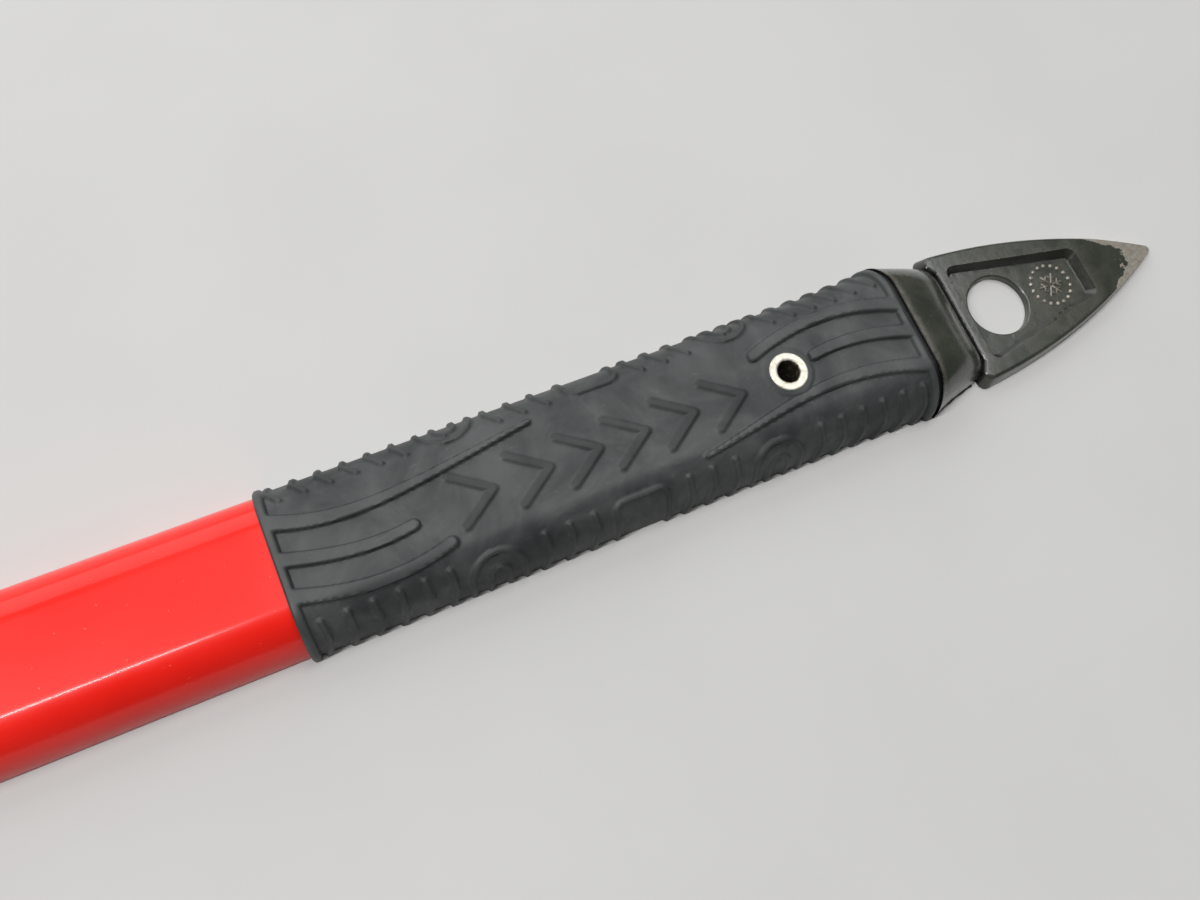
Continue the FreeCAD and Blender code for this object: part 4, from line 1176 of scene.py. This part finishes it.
# ---------------------------------------------------------------- the shaft
@dataclass
class Shaft:
    """The oval alloy tube, its rivets, foam plugs and tang packing."""

    section: Oval = Oval(33.0, 22.5, 15.0)
    bore: Oval = Oval(29.8, 19.3, 15.0)
    edge_round: float = 0.35
    eyelet_hole: float = 3.05
    rivet_hole: float = 3.05
    columns: int = 192
    sharp_angle: float = 40.0

    def build_tube(self) -> bpy.types.Object:
        """Builds the tube with an exact oval section.

        Returns:
            The tube, which replaces its CAD node.
        """
        low, high = (corner.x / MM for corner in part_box("shaft_tube"))
        shares = np.arange(self.columns) / self.columns
        cut = 2 * self.edge_round
        soft = Oval(self.section.width - cut, self.section.thick - cut, self.section.flat)
        outline = [
            (low, self.bore), (low, soft), (low + self.edge_round, self.section),
            (high - self.edge_round, self.section), (high, soft), (high, self.bore),
        ]
        points = []
        for x, oval in outline:
            _, y, z = oval.around(shares)
            points.append(np.stack([np.full(self.columns, x), y, z], -1))
        faces = ring_faces(len(outline), self.columns)
        tube = make_piece("shaft_tube_painted", np.vstack(points), faces, self.sharp_angle)
        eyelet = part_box("leash_eyelet")
        holes = [((eyelet[0].x + eyelet[1].x) / 2 / MM, 0.0, self.eyelet_hole)]
        for node in ("head_rivet_upper", "head_rivet_lower"):
            lowest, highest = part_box(node)
            holes.append(((lowest.x + highest.x) / 2 / MM, 0.0, self.rivet_hole))
        drill(tube, holes)
        smooth(tube, self.sharp_angle)
        dress(tube, GlossPaint().material("shaft_red_paint"))
        place(tube, ["shaft_tube"])
        return tube

    def dress_inside(self) -> None:
        """Finishes the plugs, the packing and the rivets."""
        foam = PlainPlastic((0.55, 0.53, 0.46), (0.42, 0.40, 0.34), 0.9, 0.12).material("foam")
        nylon = PlainPlastic((0.78, 0.77, 0.72), (0.66, 0.65, 0.60)).material("nylon")
        finishes = {
            "shaft_plug_head": foam, "shaft_plug_tail": foam,
            "tang_packer_upper": nylon, "tang_packer_lower": nylon,
        }
        for node, material in finishes.items():
            dress(frame["nodes"][node], material)
            LOG.info("%s: finished", node)
        alloy = PlainMetal((0.60, 0.60, 0.59), (0.50, 0.50, 0.49)).material("rivet_alloy")
        for node in ("head_rivet_upper", "head_rivet_lower"):
            dress(stand_in(node, self.sharp_angle), alloy)


# ---------------------------------------------------------------- the spike end
@dataclass
class SpikeEnd:
    """The forged spike with its snow-star and flash line, the hollow rivet and the gasket."""

    star_x: float = 14.8
    star_radius: float = 2.9
    pip_ring: float = 4.9
    pip_count: int = 18
    pip_radius: float = 0.54
    web: float = 1.6               # the pressed panel's floor above the mid-plane
    sunk: float = 0.05             # how deep the star's feet sit in the web
    rise: float = 0.42
    arm_start: float = 0.5         # from the star's middle to the start of an arm
    arm_width: float = 0.7
    fork_share: float = 0.55       # where an arm forks, as a share of its length
    fork_length: float = 1.0
    fork_width: float = 0.55
    fork_turn: tuple[float, float] = (0.5, 0.87)    # along and across the arm
    arm_count: int = 6
    flash_from: float = -27.0
    flash_to: float = -15.2
    flash_rise: float = 0.42
    flash_thick: float = 0.5
    flash_edge: float = 0.07       # half the thickness of its outer edge
    flash_root: float = 0.3        # how deep it starts in the dome
    flash_stations: int = 26
    flash_run_in: float = 4.0      # how far it takes to rise to its full height
    flash_start: float = 0.25      # the share of its height that it starts with
    flash_wave: float = 1.9        # turn of its edge's wave for each millimetre
    flash_ripple: float = 0.2      # the wave's size, as a share of its height
    outside: float = 50.0          # further out than any side of the forging
    rivet_bore: float = 2.35
    ear_centre: tuple[float, float, float] = (-9.2, 14.9, 0.0)
    ear_half: tuple[float, float, float] = (4.9, 3.7, 3.75)
    ear_power: float = 2.7
    spike_angle: float = 28.0      # edges that turn more than these angles, in degrees, stay sharp
    relief_angle: float = 50.0
    rivet_angle: float = 35.0
    gasket_angle: float = 40.0

    def build_spike(self) -> None:
        """Finishes the forging."""
        spike = stand_in("spike", self.spike_angle)
        self.round_ears(spike)
        weighted = spike.modifiers.new("weighted", "WEIGHTED_NORMAL")
        weighted.keep_sharp = True
        bake_modifiers(spike)
        paint = ForgingPaint(Wear.SPIKE).material("spike_paint")
        dress(spike, paint)
        self.build_star(paint)
        self.build_flash(spike, paint)

    def round_ears(self, spike: bpy.types.Object) -> None:
        """Rounds both ears into lobes, by drawing what stands out of a rounded box back onto it.

        Args:
            spike: the forging.
        """
        centre, half = Vector(self.ear_centre), Vector(self.ear_half)
        for vertex in spike.data.vertices:
            side = 1 if vertex.co.y > 0 else -1
            way = Vector((vertex.co.x, side * vertex.co.y, vertex.co.z)) / MM - centre
            if not -half.x < way.x < 0 or way.y < 0:
                continue
            out = sum(abs(way[k] / half[k]) ** self.ear_power for k in range(3)) ** (1 / self.ear_power)
            if out > 1:
                new = centre + way / out
                vertex.co = Vector((new.x, side * new.y, new.z)) * MM

    def dome(self, x: float, y: float, radius: float, rings: int = 4, around: int = 14) -> MeshLists:
        """A small raised dome on the panel's floor.

        Args:
            x: its place along the shaft.
            y: its place across the shaft.
            radius: its radius.
            rings: the number of rings from its top to its foot.
            around: the number of points in a ring.

        Returns:
            Its points and faces.
        """
        points, faces = [(x, y, self.web + self.rise)], []
        for ring in range(1, rings + 1):
            tilt = ring / rings * math.pi / 2
            for k in range(around):
                turn = 2 * math.pi * k / around
                points.append((x + radius * math.sin(tilt) * math.cos(turn),
                               y + radius * math.sin(tilt) * math.sin(turn),
                               self.web - self.sunk + (self.rise + self.sunk) * math.cos(tilt)))
        for k in range(around):
            after = (k + 1) % around
            faces.append((0, 1 + k, 1 + after))
            for ring in range(rings - 1):
                a, b = 1 + ring * around, 1 + (ring + 1) * around
                faces.append((a + k, b + k, b + after, a + after))
        faces.append(tuple(1 + (rings - 1) * around + k for k in reversed(range(around))))
        return points, faces

    def bar(self, start: Vector, end: Vector, width: float) -> MeshLists:
        """A small raised bar with pointed ends and a ridged top on the panel's floor.

        Args:
            start: where its ridge starts.
            end: where its ridge ends.
            width: its width.

        Returns:
            Its points and faces.
        """
        along = (end - start).normalized()
        side = Vector((-along.y, along.x)) * width / 2
        low, high = self.web - self.sunk, self.web + self.rise
        tip = along * width / 2
        corners = [start - side, end - side, end + tip, end + side, start + side, start - tip]
        points = [(p.x, p.y, low) for p in corners]
        points += [(start.x, start.y, high), (end.x, end.y, high)]
        faces = [(0, 1, 7, 6), (1, 2, 7), (2, 3, 7), (3, 4, 6, 7), (4, 5, 6), (5, 0, 6), (5, 4, 3, 2, 1, 0)]
        return points, faces

    def build_star(self, paint: bpy.types.Material) -> None:
        """Builds a generic snow-star in a ring of pips on both panels' floors.

        Args:
            paint: the forging's paint.
        """
        parts = []
        centre = Vector((self.star_x, 0.0))
        for k in range(self.pip_count):
            turn = 2 * math.pi * k / self.pip_count
            parts.append(self.dome(self.star_x + self.pip_ring * math.cos(turn),
                                   self.pip_ring * math.sin(turn), self.pip_radius))
        for k in range(self.arm_count):
            turn = 2 * math.pi * k / self.arm_count
            way = Vector((math.cos(turn), math.sin(turn)))
            tip = centre + way * self.star_radius
            parts.append(self.bar(centre + way * self.arm_start, tip, self.arm_width))
            fork = centre + way * self.star_radius * self.fork_share
            along, across = self.fork_turn
            for lean in (-across, across):
                turned = Vector((way.x * along - lean * way.y, way.y * along + lean * way.x))
                parts.append(self.bar(fork, fork + turned * self.fork_length, self.fork_width))
        points, faces = [], []
        for side in (1, -1):
            for part_points, part_faces in parts:
                first = len(points)
                points += [(x, side * y, side * z) for x, y, z in part_points]
                faces += [[first + n for n in f] for f in part_faces]
        star = make_piece("spike_snow_star", points, faces, self.relief_angle)
        dress(star, paint)
        place(star)

    def build_flash(self, spike: bpy.types.Object, paint: bpy.types.Material) -> None:
        """Builds the thin flash line that the dies left along the dome's sides.

        Args:
            spike: the forging, whose side the line follows.
            paint: the forging's paint.
        """
        tree = BVHTree.FromObject(spike, bpy.context.evaluated_depsgraph_get())
        points, faces = [], []
        for side in (1, -1):
            first = len(points)
            stations = np.linspace(self.flash_from, self.flash_to, self.flash_stations)
            for x in stations:
                start = Vector((x * MM, side * self.outside * MM, 0))
                y = tree.ray_cast(start, Vector((0, -side, 0)))[0].y / MM
                run_in = math.sin(math.pi * min(1.0, (x - self.flash_from) / self.flash_run_in) / 2)
                wave = 1 - self.flash_ripple + self.flash_ripple * math.sin(self.flash_wave * x + side)
                rise = self.flash_rise * (self.flash_start + (1 - self.flash_start) * run_in) * wave
                half = self.flash_thick / 2
                root, rim = y - side * self.flash_root, y + side * rise
                points += [(x, root, half), (x, rim, self.flash_edge),
                           (x, rim, -self.flash_edge), (x, root, -half)]
            for k in range(len(stations) - 1):
                a = first + 4 * k
                for i in range(4):
                    j = (i + 1) % 4
                    faces.append((a + i, a + j, a + 4 + j, a + 4 + i))
            last = first + 4 * (len(stations) - 1)
            faces += [(first + 3, first + 2, first + 1, first), (last, last + 1, last + 2, last + 3)]
        flash = make_piece("spike_flash_line", points, faces, self.relief_angle)
        dress(flash, paint)
        place(flash)

    def dress_rivet(self) -> None:
        """Finishes the hollow rivet and the gasket."""
        low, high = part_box("leash_eyelet")
        metal = HollowRivetMetal((low.x + high.x) / 2 / MM, self.rivet_bore)
        dress(stand_in("leash_eyelet", self.rivet_angle), metal.material("eyelet_metal"))
        # near-black gasket rubber: partly the seal's own colour, partly painted shade for the dark gap
        # between sleeve and ferrule
        rubber = MouldedRubber((0.008, 0.008, 0.008), (0.014, 0.014, 0.014), (0.03, 0.03, 0.03), relief=False)
        dress(stand_in("tail_gasket", self.gasket_angle), rubber.material("gasket_rubber"))


# ---------------------------------------------------------------- the head
@dataclass
class Head:
    """The slotted forging, the pick, the adze and their fasteners."""

    steel_nodes: tuple[str, ...] = ("pick_blade", "adze_blade")
    bolt_nodes: tuple[str, ...] = ("pick_bolt", "adze_bolt", "pick_nut", "adze_nut")
    washer_nodes: tuple[str, ...] = ("pick_spring_washer", "adze_spring_washer")
    dowel_nodes: tuple[str, ...] = ("pick_dowel", "adze_dowel")
    body_angle: float = 30.0       # edges that turn more than these angles, in degrees, stay sharp
    steel_angle: float = 24.0

    def build(self) -> None:
        """Finishes every piece of the head."""
        dress(stand_in("head_body", self.body_angle), ForgingPaint(Wear.HEAD).material("head_paint"))
        finishes = (
            (self.steel_nodes, GroundSteel(), "blade_steel"),
            (self.bolt_nodes, PlainMetal((0.47, 0.47, 0.455), (0.38, 0.38, 0.37)), "bolt_steel"),
            (self.washer_nodes, PlainMetal((0.33, 0.33, 0.32), (0.25, 0.25, 0.25)), "washer_steel"),
            (self.dowel_nodes, PlainMetal((0.56, 0.56, 0.55), (0.46, 0.46, 0.45)), "dowel_steel"),
        )
        for nodes, finish, slot in finishes:
            material = finish.material(slot)
            for node in nodes:
                dress(stand_in(node, self.steel_angle), material)


# ---------------------------------------------------------------- the stage
@dataclass(frozen=True)
class Light:
    """A soft rectangular light; its place and its size along and across the shaft are in metres."""

    name: str
    where: Point
    size: tuple[float, float]
    watts: float
    colour: Colour = (1.0, 1.0, 1.0)

    def build(self, aim: Point) -> None:
        """Adds the light.

        Args:
            aim: the point it faces.
        """
        data = bpy.data.lights.new(self.name, "AREA")
        data.shape, data.size, data.size_y = "RECTANGLE", *self.size
        data.energy, data.color = self.watts, self.colour
        light = bpy.data.objects.new(self.name, data)
        bpy.context.scene.collection.objects.link(light)
        way = (Vector(self.where) - Vector(aim)).normalized()
        up = way.cross(Vector((1, 0, 0))).normalized()
        light.location = self.where
        light.rotation_euler = Matrix((up.cross(way), up, way)).transposed().to_euler()


@dataclass
class Stage:
    """A plain pale floor that the axe rests on, soft studio lights and the camera."""

    view_place: Point = (-0.15174, -0.05233, 0.20780)   # in metres
    view_turn: Point = (18.57, -7.21, -23.65)           # in degrees
    lens: float = 31.79
    sensor: float = 36.0
    nearest: float = 0.01          # in metres; nothing nearer to the camera shows
    floor_reach: float = 2.5       # in metres
    floor_gap: float = 0.0001
    down: float = -0.9             # a face of the hull that looks down has a normal below this
    least_face: float = 1e-5       # in square metres
    floor_colour: Colour = (0.53, 0.53, 0.515)
    floor_shade: Colour = (0.5141, 0.5141, 0.49955)
    lights: tuple[Light, ...] = (
        Light("window", (-0.20, 1.95, 1.10), (3.2, 1.9), 35.0, (0.98, 0.99, 1.0)),
        Light("overhead", (0.36, 0.48, 1.65), (1.3, 0.8), 13.8),
        Light("tube", (-0.98, 0.10, 1.35), (1.3, 0.045), 19.0, (1.0, 0.98, 0.99)),
    )
    light_aim: Point = (-0.12, 0.0, 0.0)
    sky: float = 0.08
    sky_colour: Colour = (0.93, 0.96, 1.0)
    backdrop: Colour = (0.60, 0.60, 0.59)
    densities: dict[str, float] = field(default_factory=lambda: {
        "aluminium": 2700.0, "painted_metal": 7850.0, "brushed_steel": 7850.0, "rubber": 1200.0,
        "matte_plastic": 1100.0,
    })

    def centre_of_mass(self) -> Vector:
        """Works out the axe's centre of mass from its nodes' volumes and their material classes.

        Returns:
            The centre of mass in metres.
        """
        record = frame["record"]
        classes = {m["slot"]: m["class"] for m in record["materials"]}
        density = {s["node"]: self.densities[classes[s["material_slot"]]] for s in record["subparts"]}
        total, moment = 0.0, np.zeros(3)
        for node, solid in frame["nodes"].items():
            mesh = solid.data
            mesh.calc_loop_triangles()
            points = np.array([v.co for v in mesh.vertices])
            a, b, c = (points[[t.vertices[k] for t in mesh.loop_triangles]] for k in range(3))
            volumes = np.einsum("ij,ij->i", a, np.cross(b, c)) / 6
            total += density[node] * volumes.sum()
            moment += density[node] * (volumes[:, None] * (a + b + c) / 4).sum(0)
        return Vector(moment / total)

    def resting_plane(self) -> tuple[Vector, Vector]:
        """The plane that the axe rests on: the face of its hull that its centre of mass stands over.

        Returns:
            A point of the plane and its upward normal.
        """
        hull = bmesh.new()
        for piece in frame["nodes"].values():
            for vertex in piece.data.vertices:
                if vertex.co.z < 0:
                    hull.verts.new(vertex.co)
        bmesh.ops.convex_hull(hull, input=hull.verts)
        mass = self.centre_of_mass()
        found = None
        for face in hull.faces:
            normal = face.normal if face.normal.z < 0 else -face.normal
            if normal.z > self.down or face.calc_area() < self.least_face:
                continue
            foot = mass + normal * (face.verts[0].co - mass).dot(normal)
            inside = all(
                (loop.link_loop_next.vert.co - loop.vert.co).cross(foot - loop.vert.co).dot(face.normal) >= 0
                for loop in face.loops
            )
            if inside:
                found = face.verts[0].co.copy(), -normal
        hull.free()
        if found is None:
            raise ValueError("the axe has no face to rest on")
        LOG.info("floor normal %s", tuple(round(v, 4) for v in found[1]))
        return found

    def build_floor(self) -> None:
        """Builds the floor."""
        point, normal = self.resting_plane()
        reach = self.floor_reach
        mesh = bpy.data.meshes.new("floor")
        mesh.from_pydata([(-reach, -reach, 0), (reach, -reach, 0), (reach, reach, 0), (-reach, reach, 0)],
                         [], [(0, 1, 2, 3)])
        floor = bpy.data.objects.new("floor", mesh)
        bpy.context.scene.collection.objects.link(floor)
        floor.rotation_euler = normal.to_track_quat("Z", "Y").to_euler()
        floor.location = point - normal * self.floor_gap
        sheet = Sheet("pale_floor")
        cloud = sheet.spread(sheet.noise(60.0, 3.0), 0.3, 0.7)
        colour = sheet.mix(cloud, self.floor_colour, self.floor_shade)
        dress(floor, sheet.finish(colour=colour, roughness=0.85, gloss=0.3))

    def build_lights(self) -> None:
        """Adds the studio lights, dim surroundings and the pale backdrop that shows behind the floor."""
        for light in self.lights:
            light.build(self.light_aim)
        world = bpy.data.worlds.new("studio")
        world.use_nodes = True
        tree = world.node_tree
        dim = tree.nodes["Background"]
        dim.inputs["Color"].default_value = (*self.sky_colour, 1.0)
        dim.inputs["Strength"].default_value = self.sky
        pale = tree.nodes.new("ShaderNodeBackground")
        pale.inputs["Color"].default_value = (*self.backdrop, 1.0)
        path, either = tree.nodes.new("ShaderNodeLightPath"), tree.nodes.new("ShaderNodeMixShader")
        tree.links.new(path.outputs["Is Camera Ray"], either.inputs[0])
        tree.links.new(dim.outputs[0], either.inputs[1])
        tree.links.new(pale.outputs[0], either.inputs[2])
        tree.links.new(either.outputs[0], tree.nodes["World Output"].inputs["Surface"])
        bpy.context.scene.world = world
        bpy.context.scene.view_settings.view_transform = "Standard"

    def build_camera(self) -> None:
        """Adds the camera over the shaft's lower end."""
        data = bpy.data.cameras.new("camera")
        data.lens, data.sensor_width, data.clip_start = self.lens, self.sensor, self.nearest
        camera = bpy.data.objects.new("camera", data)
        bpy.context.scene.collection.objects.link(camera)
        camera.location = self.view_place
        camera.rotation_euler = Euler([math.radians(a) for a in self.view_turn])
        bpy.context.scene.camera = camera


def main() -> None:
    """Builds the stage and every piece of the axe in order."""
    logging.basicConfig(level=logging.INFO, format="%(name)s: %(message)s")
    stage = Stage()
    stage.build_camera()
    stage.build_floor()
    stage.build_lights()
    shaft = Shaft()
    shaft.build_tube()
    shaft.dress_inside()
    GripSleeve().build()
    spike_end = SpikeEnd()
    spike_end.build_spike()
    spike_end.dress_rivet()
    Head().build()


if __name__ == "__main__":
    main()
